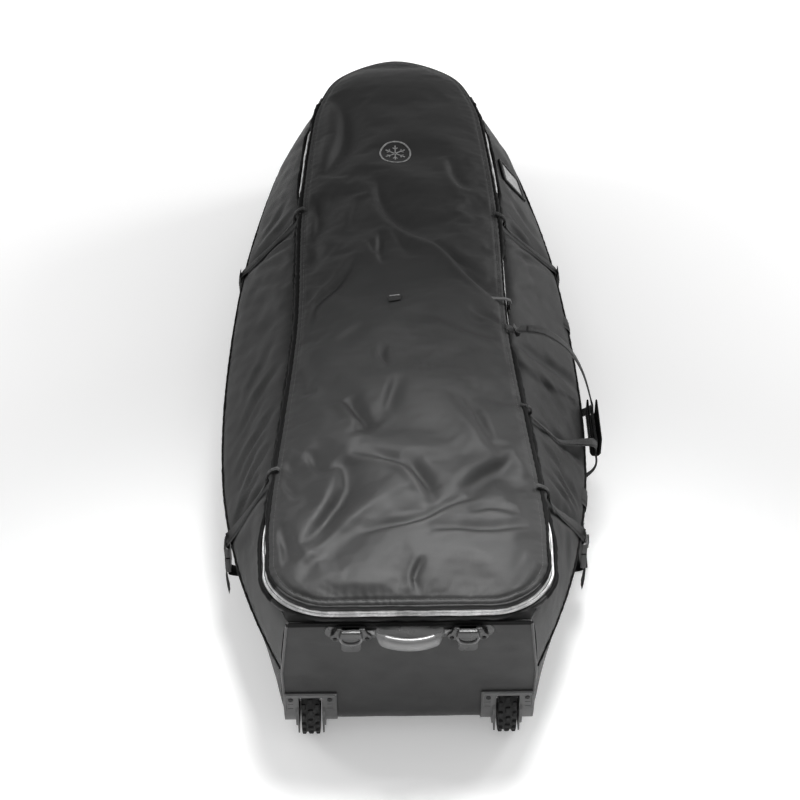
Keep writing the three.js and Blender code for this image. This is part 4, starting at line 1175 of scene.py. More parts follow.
def side_grid(side, upper, ts, fractions, inset):
    """Points of a side panel. Fractions run down the panel from 0 to 1."""
    if upper:
        top, bottom = shell_edge, ridge
        end = np.ones(len(ts))
        heights = (lambda s: lid_height(s) - RIM_HEIGHT + 1), ridge_height
    else:
        top, bottom = ridge, back_edge
        s_back = back_edge.at(ts)[:, 1]
        rise = lower_edge(s_back) - underside(s_back)
        end = 1 - rise / (ridge_height(s_back) - underside(s_back))
        heights = ridge_height, lower_edge
    columns = []
    for f in fractions:
        share = (end * f)[:, None]
        middle = mix(top.at(ts), bottom.at(ts), share)
        out = unit(mix(top.out(ts), bottom.out(ts), share))
        flat = middle - out * inset
        s = np.clip(flat[:, 1], PANEL_START, LENGTH)
        columns.append(place(side * np.maximum(flat[:, 0], 0.2), s, mix(heights[0](s), heights[1](s), f)))
    return np.stack(columns, axis=1)


def held_by_straps(side, s, upper, below):
    """Near 1 along the straps, where they press the padding flat."""
    held = np.zeros(s.shape)
    for row, at in STRAP_S.items():
        slant = STRAP_SLANT[row, side] * smoothstep(130, 0, below) if upper else 0
        held = held + bell(s - at - slant, 17)
    if side > 0:
        held = held + sum(0.8 * bell(s - at, 13) for at in (CARRY_UPPER_S, CARRY_LOWER_S))
        if not upper:
            held = held + 0.9 * bell(s - CARRY_MIDDLE_S, 60)
            held = held + sum(0.9 * bell(s - at, 32) for at in RING_S.values())
        else:
            held = held + np.exp(-(((s - CARD_S) / 48) ** 4))
    return np.clip(held, 0, 1)


def make_side(name, side, upper):
    t0, t1 = ridge.t(PANEL_START), 1.0
    fine = ridge.at(np.linspace(t0, t1, 1200))
    even = np.linspace(0, 1, 290)
    lengths = arc_length(fine)
    ts = np.interp(even, lengths / lengths[-1], np.linspace(t0, t1, 1200))
    fractions = np.linspace(0, 1, SIDE_COLUMNS)
    base = side_grid(side, upper, ts, fractions, 0)
    normals = sheet_normals(base)
    outward = np.sign(np.sum(normals[..., 0] * side))
    normals = normals * outward
    width = row_lengths(base)
    below, above = width, width[:, -1:] - width
    s = base[..., 1] - TAIL_Y
    along = arc_length(base[:, len(fractions) // 2])[:, None] + 0 * s
    seam = 1 - np.exp(-np.minimum(below, above) / 15)
    hold = held_by_straps(side, s, upper, below)
    satin = smoothstep(120, 330, s)
    shoulder = smoothstep(0, 60, along) * smoothstep(0, 50, along[-1:] - along)
    rise = mix(4.0, 8.5, satin) * seam * (1 - 0.85 * hold)
    seed = 31 + int(side) + 4 * upper
    folds = np.zeros(s.shape)
    if upper:
        for points, half_width, depth in DRAG_FOLDS:
            shift, stretch = 6 * side, 1 + 0.12 * side * math.sin(points[0][0])
            points = [(a + shift, b * stretch) for a, b in points]
            folds += fold(along, below, points, half_width, depth * 0.9)
    else:
        for at in STRAP_S.values():
            for k in (1, 2) if at < 400 else (-2, -1, 1, 2):
                line = [(at + k * 16, 12), (at + k * (30 + 5 * side), 50 + 9 * k), (at + k * 58, 96)]
                folds += fold(along, below, line, 9, 3.2 / abs(k) ** 0.5)
    waves = 1.5 * ripple(along, below, 130, seed) + 0.9 * ripple(along, below * 1.4, 55, seed + 1)
    puckers = 0.6 * ripple(along, below * 0.2, 13, seed + 2) * np.exp(-np.minimum(below, above) / 14)
    detail = (folds + waves + 0.25 * ripple(along, below, 22, seed + 3)) * mix(0.35, 1, satin)
    lift = rise + (detail * seam + puckers) * shoulder * (1 - 0.7 * hold)
    pulled_in = 5.0 * bell(s - STRAP_S["upper"], 16) * seam
    lift = np.clip(lift - pulled_in, -6, 14)
    outer = base + normals * lift[..., None]
    outer[..., 2] = np.maximum(outer[..., 2], 4.0)
    inner = side_grid(side, upper, ts, fractions, SIDE_INSET)
    panel = slab(f"side_cloth_{name}", outer, inner, SIDE_CLOTH)
    put(panel, "shell", "black_nylon", f"side_{name}", fill=0.5)


def make_sides():
    for name, side in SIDES:
        make_side(f"{name}_upper", side, True)
        make_side(f"{name}_lower", side, False)


def outline_path(outline, height, start_s, lift=0.0, count=260):
    """From the tail on the right, round the nose, to the tail on the left."""
    ts = np.linspace(outline.t(start_s), 1, count)
    flat, outs = both_sides(outline.at(ts) + outline.out(ts) * lift, outline.out(ts))
    return place(flat[:, 0], flat[:, 1], height(flat[:, 1])), level(outs)


def make_side_pipings():
    """The seams along the ridge and along the back's edge."""
    for name, outline, height, start, lift, radius in (
            ("ridge_piping", ridge, ridge_height, 8, 0.4, 2.4),
            ("back_edge_piping", back_edge, lambda s: underside(s) + 7, 60, 0.5, 3.2)):
        path, normals = outline_path(outline, height, start, lift)
        lengths = arc_length(path)
        gather = 1 + 0.12 * ripple(lengths, lengths * 0, 18, 51)
        profile = round_profile(radius, radius, 10)[None] * gather[:, None, None]
        put(sweep(name, path, normals, profile, SHADED_PIPING, smooth_angle=60), "shell", "webbing")


# ---- Back and tail ----

WALL_TOP = LID_HEIGHT_TAIL - RIM_HEIGHT - 0.3
WRAP_THICKNESS = 9.5
BACK_THICKNESS = 12
WHEEL_X = 149
# The box cut out of the wrap for a wheel, in millimetres: size, and its middle's distance from the tail and
# the floor.
NOTCH_SIZE = (49, 115, 109)
NOTCH_S = 40
NOTCH_Z = 53


def make_back():
    s_rows = np.concatenate([np.arange(WRAP_END, 1240, 7.0),
                             1240 + 190 * np.sin(np.linspace(0, math.pi / 2, 34))])
    f = np.linspace(-1, 1, 61)[None, :]
    half = np.where(s_rows < 1429.5, back_edge.half_width(s_rows), 4)[:, None]
    x, s = half * f, np.broadcast_to(s_rows[:, None], (len(s_rows), 61))
    edge = np.minimum(half - np.abs(x), 1436 - s)
    hem = 5 * np.exp(-np.maximum(edge, 0) / 8) + 1.5 * np.exp(-np.abs(s - WRAP_END) / 6)
    quilted = 1.3 * (1 + ripple(x, s, 160, 61)) + 0.5 * (1 + ripple(x, s, 45, 62))
    creases = sum(fold(x, s, line, w, -d) for line, w, d in (
        ([(-150, 470), (-60, 520), (60, 600)], 12, 3), ([(-120, 620), (20, 690), (140, 700)], 14, 2.5),
        ([(150, 820), (30, 900), (-110, 930)], 16, 2), ([(120, 1060), (10, 1120)], 14, 2)))
    low = underside(s) + np.maximum(hem + quilted * (1 - np.exp(-np.maximum(edge, 0) / 20)) + creases, 0.0)
    panel = slab("back_cloth_panel", place(x, s, underside(s) + BACK_THICKNESS), place(x, s, low), BACK_CLOTH)
    put(panel, "shell", "black_nylon", "back_panel", fill=0.4)


def wall_half(z):
    """Half the width of the tail face at a height: it is widest at the side seams."""
    return np.interp(z, [TAIL_LIFT, ridge_height(0), LID_HEIGHT_TAIL - RIM_HEIGHT], [187, 189.5, 178.5])


def wrap_places():
    """The wrap's line down the tail face, round the bend and along the underside: s, z, lean, half width."""
    wall = [(0, z, 0) for z in np.linspace(WALL_TOP, TAIL_LIFT + CORNER_RADIUS + 5, 34)]
    bend = [(CORNER_RADIUS * (1 - math.cos(a)), TAIL_LIFT + CORNER_RADIUS * (1 - math.sin(a)), a)
            for a in np.linspace(0, math.pi / 2, 15)]
    floor = [(s, float(underside(s)), math.pi / 2) for s in np.linspace(CORNER_RADIUS + 8, WRAP_END, 52)]
    s, z, lean = np.array(wall + bend + floor).T
    half = np.where(s < CORNER_RADIUS, wall_half(z), back_edge.half_width(s))
    return np.stack([s, z, lean, half], axis=1)


def make_wrap():
    rows = wrap_places()
    s, z, lean, half = (column[:, None] for column in rows.T)
    x = half * np.linspace(-1, 1, 75)[None, :]
    down = arc_length(rows[:, :2])[:, None]
    edge = half - np.abs(x)
    taut = (1 - np.exp(-edge / 24)) * (1 - np.exp(-down / 16)) * smoothstep(0, 30, down[-1] - down)
    on_wall = 1 - smoothstep(150, 215, down)
    belly = 4.0 * taut * on_wall
    waves = 0.9 * ripple(x, down, 140, 71) + 0.35 * ripple(x, down * 2, 55, 72)
    wide, deep = np.broadcast_arrays(x, down)
    creases = sum(fold(wide, deep, *line) for line in (
        ([(-175, 38), (-120, 46), (-60, 40)], 6, 1.8), ([(-172, 72), (-130, 88), (-105, 110)], 8, 1.6),
        ([(172, 50), (130, 60), (90, 52)], 7, 1.3)))
    out = belly + (waves + creases) * taut * mix(0.35, 1, on_wall) + 0.3
    near_hardware = bell(down - 18, 26) * (np.abs(x) < 130)
    near_wheels = smoothstep(66, 40, np.abs(np.abs(x) - WHEEL_X)) * smoothstep(105, 150, down)
    out = np.minimum(out, mix(5, 1.2, near_hardware)) * (1 - near_wheels)
    outer = place(x, s - out * np.cos(lean), z - out * np.sin(lean))
    inner = place(x, s + WRAP_THICKNESS * np.cos(lean), z + WRAP_THICKNESS * np.sin(lean))
    wrap = slab("coated_wrap_sheet", outer, inner, COATED, 60)
    cutters = []
    for name, _ in SIDES:
        low, high = node_box(f"wheel_housing_{name}")
        middle = (low[0] + high[0]) / 2
        where = Vector((middle, TAIL_Y + NOTCH_S, NOTCH_Z)) * MM
        bpy.ops.mesh.primitive_cube_add(size=1, location=where)
        cutter = bpy.context.object
        cutter.scale = Vector(NOTCH_SIZE) * MM
        cutters.append(cutter)
        notch = wrap.modifiers.new(f"notch_{name}", "BOOLEAN")
        notch.operation, notch.object, notch.solver = "DIFFERENCE", cutter, "EXACT"
    bpy.context.view_layer.update()
    solved = bpy.data.meshes.new_from_object(wrap.evaluated_get(bpy.context.evaluated_depsgraph_get()))
    wrap.modifiers.clear()
    wrap.data = solved
    while len(solved.materials) > 1:
        solved.materials.pop()
    for cutter in cutters:
        bpy.data.objects.remove(cutter)
    put(wrap, "shell", "coated_tarpaulin", "base_wrap", fill=0.2)


def make_wrap_trims():
    """Grey piping on the two tail corners, and the seams at the wrap's ends."""
    s, z, lean, half = wrap_places().T
    for name, side in SIDES:
        path = place(side * (half - 0.5), s - 1.2 * np.cos(lean), z - 1.2 * np.sin(lean))[lean <= 1.5]
        corner = sweep(f"tail_corner_piping_{name}", resample(path[1:], 4), [0.8 * side, -0.6, 0],
                       round_profile(2.1, 2.1, 10), GREY_PIPING)
        put(corner, "shell", "webbing")
    x = np.linspace(-176, 176, 80)
    top = place(x, -2.2, WALL_TOP - 2.0)
    hem = sweep("tail_top_hem", top, [0, -1, 0], flat_profile(9, 2.6), SHADED_PIPING)
    put(hem, "shell", "webbing")
    half = back_edge.half_width(WRAP_END) - 3
    x = np.linspace(-half, half, 80)
    seam = sweep("wrap_end_hem", place(x, WRAP_END, WRAP_END_LIFT - 1.0), [0, 0, -1],
                 flat_profile(16, 2.2), WEBBING)
    put(seam, "shell", "webbing")


# ---- Wheels and their housings ----

BIG_SCREW = 4.2
SMALL_SCREW = 3.4


def screw(name, centre, axis, radius=BIG_SCREW):
    """A pan-head screw, its cross recess drawn as a thin dark cross of painted shade."""
    centre, axis = np.asarray(centre, float), unit(axis)
    head = [(0.05, 1.0), (radius * 0.35, 1.0), (radius * 0.4, 1.9), (radius * 0.7, 1.75),
            (radius * 0.93, 1.1), (radius, 0.2), (radius, -0.6), (0.05, -0.6)]
    dome = lathe(name, head, centre, axis, DARK_METAL, 20)
    side = unit(np.cross(axis, UP if abs(axis[2]) < 0.9 else RIGHT))
    other = np.cross(axis, side)
    # The cross recess is drawn, not cut: dark bars across the head are painted shade where the recess would
    # be shaded.
    recess_shade_bars = []
    for along in (side, other):
        middle, arm = centre + axis * 1.75, along * radius * 0.62
        recess_shade_bars.append(sweep(name + "_slot", [middle - arm, middle + arm], axis,
                          [(-0.45, 0), (-0.45, 0.12), (0.45, 0.12), (0.45, 0)], SHADED_PIPING))
    return joined(name, [dome, *recess_shade_bars])


def make_tyre(name, centre, low, high):
    """A rubber tyre: a carcass with three rows of knobs."""
    radius = (high[2] - low[2]) / 2
    half = (high[0] - low[0]) / 2
    body = radius - 3.4
    profile = [(38.3, -half + 3), (44, -half + 1.2), (body - 3, -half + 1), (body - 0.8, -half + 3.5),
               (body, -half * 0.5), (body + 0.2, 0), (body, half * 0.5), (body - 0.8, half - 3.5),
               (body - 3, half - 1), (44, half - 1.2), (38.3, half - 3)]
    parts = [lathe(f"tyre_carcass_{name}", profile, centre, RIGHT, RUBBER, 72)]
    knobs, taper_top, long, tall = 20, 0.78, 9.5, 5.2
    tread = [(-half + 4.6, 7.0, 0.0), (0, 8.5, 0.5), (half - 4.6, 7.0, 0.0)]
    for row, (offset, wide, shift) in enumerate(tread):
        for k in range(knobs):
            angle = (k + shift) * 2 * math.pi / knobs
            work = bmesh.new()
            bmesh.ops.create_cube(work, size=1)
            for vertex in work.verts:
                taper = taper_top if vertex.co.z > 0 else 1
                lean = 0.9 * (vertex.co.x if row == 1 else abs(vertex.co.x))
                vertex.co = Vector((vertex.co.x * wide * taper, vertex.co.y * long * taper + lean,
                                    vertex.co.z * tall))
            bmesh.ops.bevel(work, geom=work.edges, offset=0.7, segments=2, affect="EDGES", clamp_overlap=True)
            turn = Matrix.Rotation(angle, 4, "X")
            work.transform(Matrix.Scale(MM, 4) @ Matrix.Translation(centre) @ turn
                           @ Matrix.Translation((offset, 0, radius - 2.75)))
            parts.append(finish_solid(f"knob_{row}_{k}", work, RUBBER, 0))
    put(joined(f"knobbly_tyre_{name}", parts), f"wheel_{name}", "tyre_rubber", f"tyre_{name}")


def make_hub(name, centre):
    """The hub with six spokes, sunk faces and bearing caps."""
    ring = [(30.5, -12), (37.8, -12), (37.8, 12), (30.5, 12), (29.5, 9), (29.5, -9)]
    core = [(11.3, -12), (16.5, -12), (18.5, -9), (18.5, 9), (16.5, 12), (11.3, 12)]
    web = [(16, -3.4), (31, -3.4), (31, 3.4), (16, 3.4)]
    parts = [lathe(f"hub_rim_{name}", ring, centre, RIGHT, PLASTIC, 60),
             lathe(f"hub_core_{name}", core, centre, RIGHT, PLASTIC, 48),
             lathe(f"hub_web_{name}", web, centre, RIGHT, PLASTIC, 48)]
    for k in range(6):
        angle = k * math.pi / 3
        across = np.array([0, math.cos(angle), math.sin(angle)])
        spoke = sweep(f"hub_spoke_{name}_{k}", [centre + across * 17, centre + across * 31], RIGHT,
                      [(-2.6, -9), (-2.0, -10), (2.0, -10), (2.6, -9),
                       (2.6, 9), (2.0, 10), (-2.0, 10), (-2.6, 9)], PLASTIC)
        parts.append(spoke)
    put(joined(f"spoked_hub_{name}", parts), f"wheel_{name}", "black_plastic", f"wheel_hub_{name}")


def make_bearing(name, which, body):
    low, high = node_box(f"bearing_{name}_{which}")
    centre, half = (low + high) / 2, (high[0] - low[0]) / 2
    races = [(4.4, -half), (6.2, -half), (6.4, -half + 0.6), (8.6, -half + 0.6), (8.8, -half), (10.9, -half),
             (10.9, half), (8.8, half), (8.6, half - 0.6), (6.4, half - 0.6), (6.2, half), (4.4, half)]
    put(lathe(f"ball_bearing_{name}_{which}", races, centre, RIGHT, STEEL, 40), body, "steel",
        f"bearing_{name}_{which}")


def make_axle(name):
    low, high = node_box(f"axle_{name}")
    centre, half = (low + high) / 2, (high[0] - low[0]) / 2
    shape = [(0.05, -half), (3.2, -half), (4, -half + 0.8), (4, half - 0.8), (3.2, half), (0.05, half)]
    put(lathe(f"axle_pin_{name}", shape, centre, RIGHT, STEEL, 32), "shell", "steel", f"axle_{name}")


HOUSING_PLATE = 3.3
HOUSING_TOP = 92


def make_housing(name):
    low, high = node_box(f"wheel_housing_{name}")
    x = (low[0] + high[0]) / 2
    parts = [refined(f"wheel_housing_{name}", PLASTIC, 0.9)]
    face_y = TAIL_Y - HOUSING_PLATE
    top = TAIL_LIFT + HOUSING_TOP
    lip = [(x + across, face_y - 0.2, z) for across, z in (
        (-37, 72), (-37, top - 5), (-35, top - 3), (35, top - 3), (37, top - 5), (37, 72))]
    parts.append(rod(f"housing_lip_{name}", lip, [0, -1, 0], 1.5, 1.1, PLASTIC))
    for k in (-1, 1):
        for z in (76, 86):
            line = [(x + k * 26, face_y - 0.2, z), (x + k * 34, face_y - 0.2, z)]
            parts.append(rod(f"housing_rib_{name}_{k}_{z}", line, [0, -1, 0], 0.9, 0.8, PLASTIC))
    put(joined(f"moulded_housing_{name}", parts), "shell", "black_plastic", f"wheel_housing_{name}")
    fixings = [screw(f"housing_screw_{name}_{k}", (x + k * 29.5, face_y, top - 13.5), [0, -1, 0])
               for k in (-1, 1)]
    for s, dx in ((98, 31), (98, -31), (168, 0), (140, 12), (140, -12)):
        z = float(underside(s)) - HOUSING_PLATE
        fixings.append(screw(f"housing_screw_{name}_{s}_{dx}", (x + dx, TAIL_Y + s, z), [0, 0, -1]))
    put(joined(f"housing_screws_{name}", fixings), "shell", "dark_metal")


def make_wheels():
    for name, _ in SIDES:
        low, high = node_box(f"tyre_{name}")
        centre = (low + high) / 2
        make_tyre(name, centre, low, high)
        make_hub(name, centre)
        make_axle(name)
        for which in ("inner", "outer"):
            make_bearing(name, which, f"wheel_{name}")
        make_housing(name)


# ---- Tail handle ----

def make_tail_handle():
    low, high = node_box("handle_base")
    middle_z = (low[2] + high[2]) / 2
    put(refined("handle_base", HANDLE_PLASTIC, 1.0), "shell", "black_plastic", "handle_base")
    fixings = []
    for name, side in SIDES:
        cap_low, cap_high = node_box(f"handle_cap_{name}")
        x = (cap_low[0] + cap_high[0]) / 2 - side * 5
        face, wall, top = cap_low[1], cap_high[1], cap_high[2] - 1
        ear_z, foot_z = middle_z - 2, cap_low[2] - 4
        ears = [(x - 21, top), (x + 21, top),
                *round_ear(x + 22, ear_z + 2, 1), *round_ear(x - 22, ear_z + 2, -1)]
        tongue = [(x - 15, top - 3), (x + 15, top - 3), (x + 14, foot_z + 4),
                  (x + 10, foot_z), (x - 10, foot_z), (x - 14, foot_z + 4)]
        hood = [(x - 17, top - 14), (x - 15, top), (x + 15, top), (x + 17, top - 14)]
        parts = [solid_shape(f"cap_ears_{name}", ears, 1, face + 6.5, wall - 0.2, HANDLE_PLASTIC, 1.6, 3),
                 solid_shape(f"cap_tongue_{name}", tongue, 1, face + 3, wall - 0.4, HANDLE_PLASTIC, 1.2, 2),
                 solid_shape(f"cap_hood_{name}", hood, 1, face + 0.6, wall - 0.6, HANDLE_PLASTIC, 2.4, 3)]
        rim = [(x - 15.5, face + 3.2, ear_z + 4)]
        rim += [(x + 15.5 * math.cos(a), face + 2.2, ear_z + 2 + 12 * math.sin(a))
                for a in np.linspace(math.pi, 2 * math.pi, 18)]
        rim += [(x + 15.5, face + 3.2, ear_z + 4)]
        parts.append(sweep(f"cap_rim_{name}", resample(rim, 2.5), [0, -1, 0], round_profile(2.1, 2.3, 10),
                           CAP_RIM))
        put(joined(f"moulded_cap_{name}", parts), "shell", "black_plastic", f"handle_cap_{name}")
        for k in (-1, 1):
            fixings.append(screw(f"handle_screw_{name}_{k}", (x + k * 23.5, face + 6.4, ear_z - 3),
                                 [0, -1, 0], SMALL_SCREW))
    put(joined("handle_screws", fixings), "shell", "dark_metal")
    make_grip(middle_z)


def round_ear(x, z, side):
    """The outline of a screw ear, going down on the right side of a cap and up on the left."""
    angles = np.linspace(0.4 * math.pi, -0.5 * math.pi, 8)
    ear = [(x + side * 8 * math.cos(a), z - 2 + 8 * math.sin(a)) for a in angles]
    return ear if side > 0 else ear[::-1]


def make_grip(middle_z):
    """The bowed grip: flat ends that slide in the caps and a soft pad between them."""
    low, high = node_box("handle_grip")
    end_x = high[0]
    end_y = high[1] - 1.2
    bow = end_y - low[1] - 4
    x = np.linspace(-end_x, end_x, 90)
    reach, pad_reach, end_lift = 50, 48, 3.5
    curve = np.where(np.abs(x) < reach, bow * np.maximum(np.cos(x / reach * math.pi / 2), 0) ** 0.55, 0)
    swell = smoothstep(0, 12, pad_reach - np.abs(x))
    path = np.stack([x, end_y - curve, middle_z + end_lift * (1 - swell)], axis=1)
    angles = np.arange(20) * 2 * math.pi / 20
    square = 0.85
    across = mix(4.6, 12, swell)[:, None] * np.sign(np.cos(angles)) * np.abs(np.cos(angles)) ** square
    out = mix(1.2, 6.2, swell)[:, None] * np.sign(np.sin(angles)) * np.abs(np.sin(angles)) ** square
    grip = sweep("soft_bowed_grip", path, [0, -1, 0], np.stack([across, out], axis=-1), GRIP, smooth_angle=60)
    put(grip, "grip", "soft_grip", "handle_grip")


# ---- Skid rail ----

RAIL_DEPTH = 8.3
RAIL_RIB_STEP = 18


def make_skid():
    parts = [refined("skid_rail", PLASTIC, 1.2)]
    low, high = node_box("skid_rail")
    for k, s in enumerate(np.arange(low[1] + 14, high[1] - 8, RAIL_RIB_STEP)):
        z = float(underside(s - TAIL_Y)) - RAIL_DEPTH - 0.1
        parts.append(rod(f"rail_rib_{k}", [(-5, s, z), (5, s, z)], [0, 0, -1], 1.4, 0.9, PLASTIC))
    put(joined("ribbed_skid_rail", parts), "shell", "black_plastic", "skid_rail")
    put(refined("skid_foot", PLASTIC, 0.6), "shell", "black_plastic", "skid_foot")
    fixings = []
    for s in (high[1] - 4, (low[1] + high[1]) / 2):
        z = float(underside(s - TAIL_Y)) - RAIL_DEPTH
        fixings.append(screw(f"rail_screw_{int(s)}", (0, s, z), [0, 0, -1], SMALL_SCREW))
    put(joined("rail_screws", fixings), "shell", "dark_metal")


# ---- Straps ----

def band(name, places, widths, material, thickness=2.0, per_span=10):
    """Webbing through (point, normal) places, with its width at each."""
    knots = np.array([np.concatenate([p, n, [w]]) for (p, n), w in zip(places, widths)])
    curve = catmull_rom(knots, per_span)
    base = np.array(flat_profile(1.0, thickness))
    profile = np.repeat(base[None], len(curve), axis=0)
    profile[..., 0] *= curve[:, 6:7]
    return sweep(name, curve[:, :3], unit(curve[:, 3:6]), profile, material, smooth_angle=50)


def make_compression_straps():
    for level_name, s in STRAP_S.items():
        for name, side in SIDES:
            tag = f"{level_name}_{name}"
            male_low, male_high = node_box(f"buckle_male_{tag}")
            female_low, female_high = node_box(f"buckle_female_{tag}")
            middle_x = (male_low[0] + male_high[0]) / 2
            outward = [side, 0, 0]
            top = male_high[2]
            girths = [(-0.08, 1.0), (0.2, 6.0), (0.6, 9.0), (1.0, 8.5), (1.3, 5.5), (1.6, 4.4), (1.85, 4.4)]
            slant = STRAP_SLANT[level_name, side]
            places = [on_side(side, s + slant * (1 - smoothstep(0.9, 2.0, u)), u, off) for u, off in girths]
            places.append(on_side(side, s, 2.0, 6.5))
            places += [(place(middle_x, s, top + up), outward) for up in (6, -3)]
            widths = [9, 9, 10, 10, 12, 19, 24, 24, 23, 22]
            strap = band(f"strap_band_lid_{tag}", places, widths, WEBBING)
            loop_places = [on_side(side, s + slant, u, off) for u, off in (
                (-0.12, 2.0), (-0.05, 5.5), (0.1, 8.8), (0.5, 11.0), (0.9, 10.6), (1.1, 8.0), (1.25, 5.0))]
            loop = band(f"gather_loop_{tag}", loop_places, [8, 7, 6.5, 6.5, 6.5, 7, 8], GREY_LOOP)
            put(joined(f"lid_strap_{tag}", [strap, loop]), "lid", "webbing", f"strap_lid_{tag}")
            make_buckle(tag, s, middle_x, side, male_low, male_high, female_low, female_high)
            bottom = female_low[2]
            places = [(place(middle_x, s, bottom + 3), outward), (place(middle_x, s, bottom - 3), outward),
                      (place(middle_x - side * 4, s, bottom - 11), outward)]
            places += [on_side(side, s, u, 4.2) for u in (2.62, 2.8, 2.93)]
            strap = band(f"strap_band_shell_{tag}", places, [22, 23, 24, 24, 23, 22], WEBBING)
            loose = [(place(middle_x + side * off, s + along, bottom + up), outward)
                     for off, along, up in ((3.4, 0, 2), (5.0, 1, -18), (4.5, 3, -42), (2.5, 4, -62))]
            tail = band(f"strap_tail_{tag}", loose, [22, 23, 23, 22], WEBBING)
            put(joined(f"shell_strap_{tag}", [strap, tail]), "shell", "webbing", f"strap_shell_{tag}")


def make_buckle(tag, s, x, side, male_low, male_high, female_low, female_high):
    """A side-release buckle: the male half with its prongs on the lid, the female half on the bag."""
    y = TAIL_Y + s
    joint = male_low[2] + 8
    male = [refined(f"buckle_male_{tag}", BUCKLE_PLASTIC, 1.1)]
    for k in (-1, 1):
        prong = [(y + k * along, joint + up) for along, up in (
            (4, 1), (11.3, 1), (11.8, -5), (9.6, -9.4), (8.2, -9.4), (8.6, -3), (4, -3))]
        male.append(solid_shape(f"prong_{tag}_{k}", prong[::k], 0, x - 2.1, x + 2.1, BUCKLE_PLASTIC, 0.5))
    for z in (male_high[2] - 4, male_high[2] - 9):
        line = [(x + side * 4.6, y - 11, z), (x + side * 4.6, y + 11, z)]
        male.append(rod(f"male_rib_{tag}_{int(z)}", line, [side, 0, 0], 0.9, 0.7, BUCKLE_PLASTIC))
    put(joined(f"buckle_plug_{tag}", male), "lid", "black_plastic", f"buckle_male_{tag}")
    female = [refined(f"buckle_female_{tag}", BUCKLE_PLASTIC, 1.3)]
    for k, z in enumerate(np.linspace(female_low[2] + 4, female_low[2] + 14, 4)):
        line = [(x + side * 4.6, y - 11, z), (x + side * 4.6, y + 11, z)]
        female.append(rod(f"female_rib_{tag}_{k}", line, [side, 0, 0], 0.8, 0.7, BUCKLE_PLASTIC))
    middle = (female_low[2] + female_high[2]) / 2 + 3
    arc = [(x + side * 4.5, y - 9 + 18 * f, middle + 3.5 * math.sin(f * math.pi))
           for f in np.linspace(0, 1, 15)]
    female.append(rod(f"female_arc_{tag}", arc, [side, 0, 0], 1.0, 0.8, BUCKLE_PLASTIC))
    put(joined(f"buckle_socket_{tag}", female), "shell", "black_plastic", f"buckle_female_{tag}")


# ---- Carry handle ----

def carry_loop(arms, level_z):
    """A loop of webbing: an arm up to the wrap, the straight part inside it, and an arm back."""
    x = ridge.half_width(CARRY_MIDDLE_S) + 19
    z = ridge_height(CARRY_MIDDLE_S) + level_z
    reach = [CARRY_WRAP_HALF + 4, 24, 0, -24, -CARRY_WRAP_HALF - 4]
    straight = [(place(x, CARRY_MIDDLE_S + d, z), RIGHT) for d in reach]
    return arms[0] + straight + arms[1][::-1]


def front_arms():
    """From the rim: the nose end stands up in an arch, the tail end lies on the side."""
    nose = [on_side(1, CARRY_UPPER_S, u, off) for u, off in ((-0.08, 1.0), (0.2, 8.0))]
    arch = [(200, 620, 287, 0.3, 1.0), (238, 614, 283, 0.5, 0.9), (276, 604, 256, 0.85, 0.5),
            (302, 594, 212, 1.0, 0.15)]
    nose += [(place(x, s, z), unit([nx, 0, nz])) for x, s, z, nx, nz in arch]
    tail = [on_side(1, CARRY_LOWER_S, u, off) for u, off in
            ((-0.08, 1.0), (0.2, 8.5), (0.6, 11.0), (1.0, 9.5), (1.3, 7.0), (1.55, 8.0))]
    tail.append((place(306, CARRY_LOWER_S + 24, 182), [1.0, 0, 0.1]))
    return nose, tail


def back_arms():
    arms = []
    for s in (CARRY_UPPER_S, CARRY_LOWER_S):
        arm = [on_side(1, s, u, 4.0) for u in (2.9, 2.75)]
        arm.append(on_side(1, mix(s, CARRY_MIDDLE_S, 0.1), 2.5, 6.5))
        low_z = arm[-1][0][2]
        x = ridge.half_width(CARRY_MIDDLE_S) + 13
        z = ridge_height(CARRY_MIDDLE_S) - 9
        arm.append((place(x, mix(s, CARRY_MIDDLE_S, 0.24), mix(z, low_z, 0.35)), RIGHT))
        arms.append(arm)
    return arms


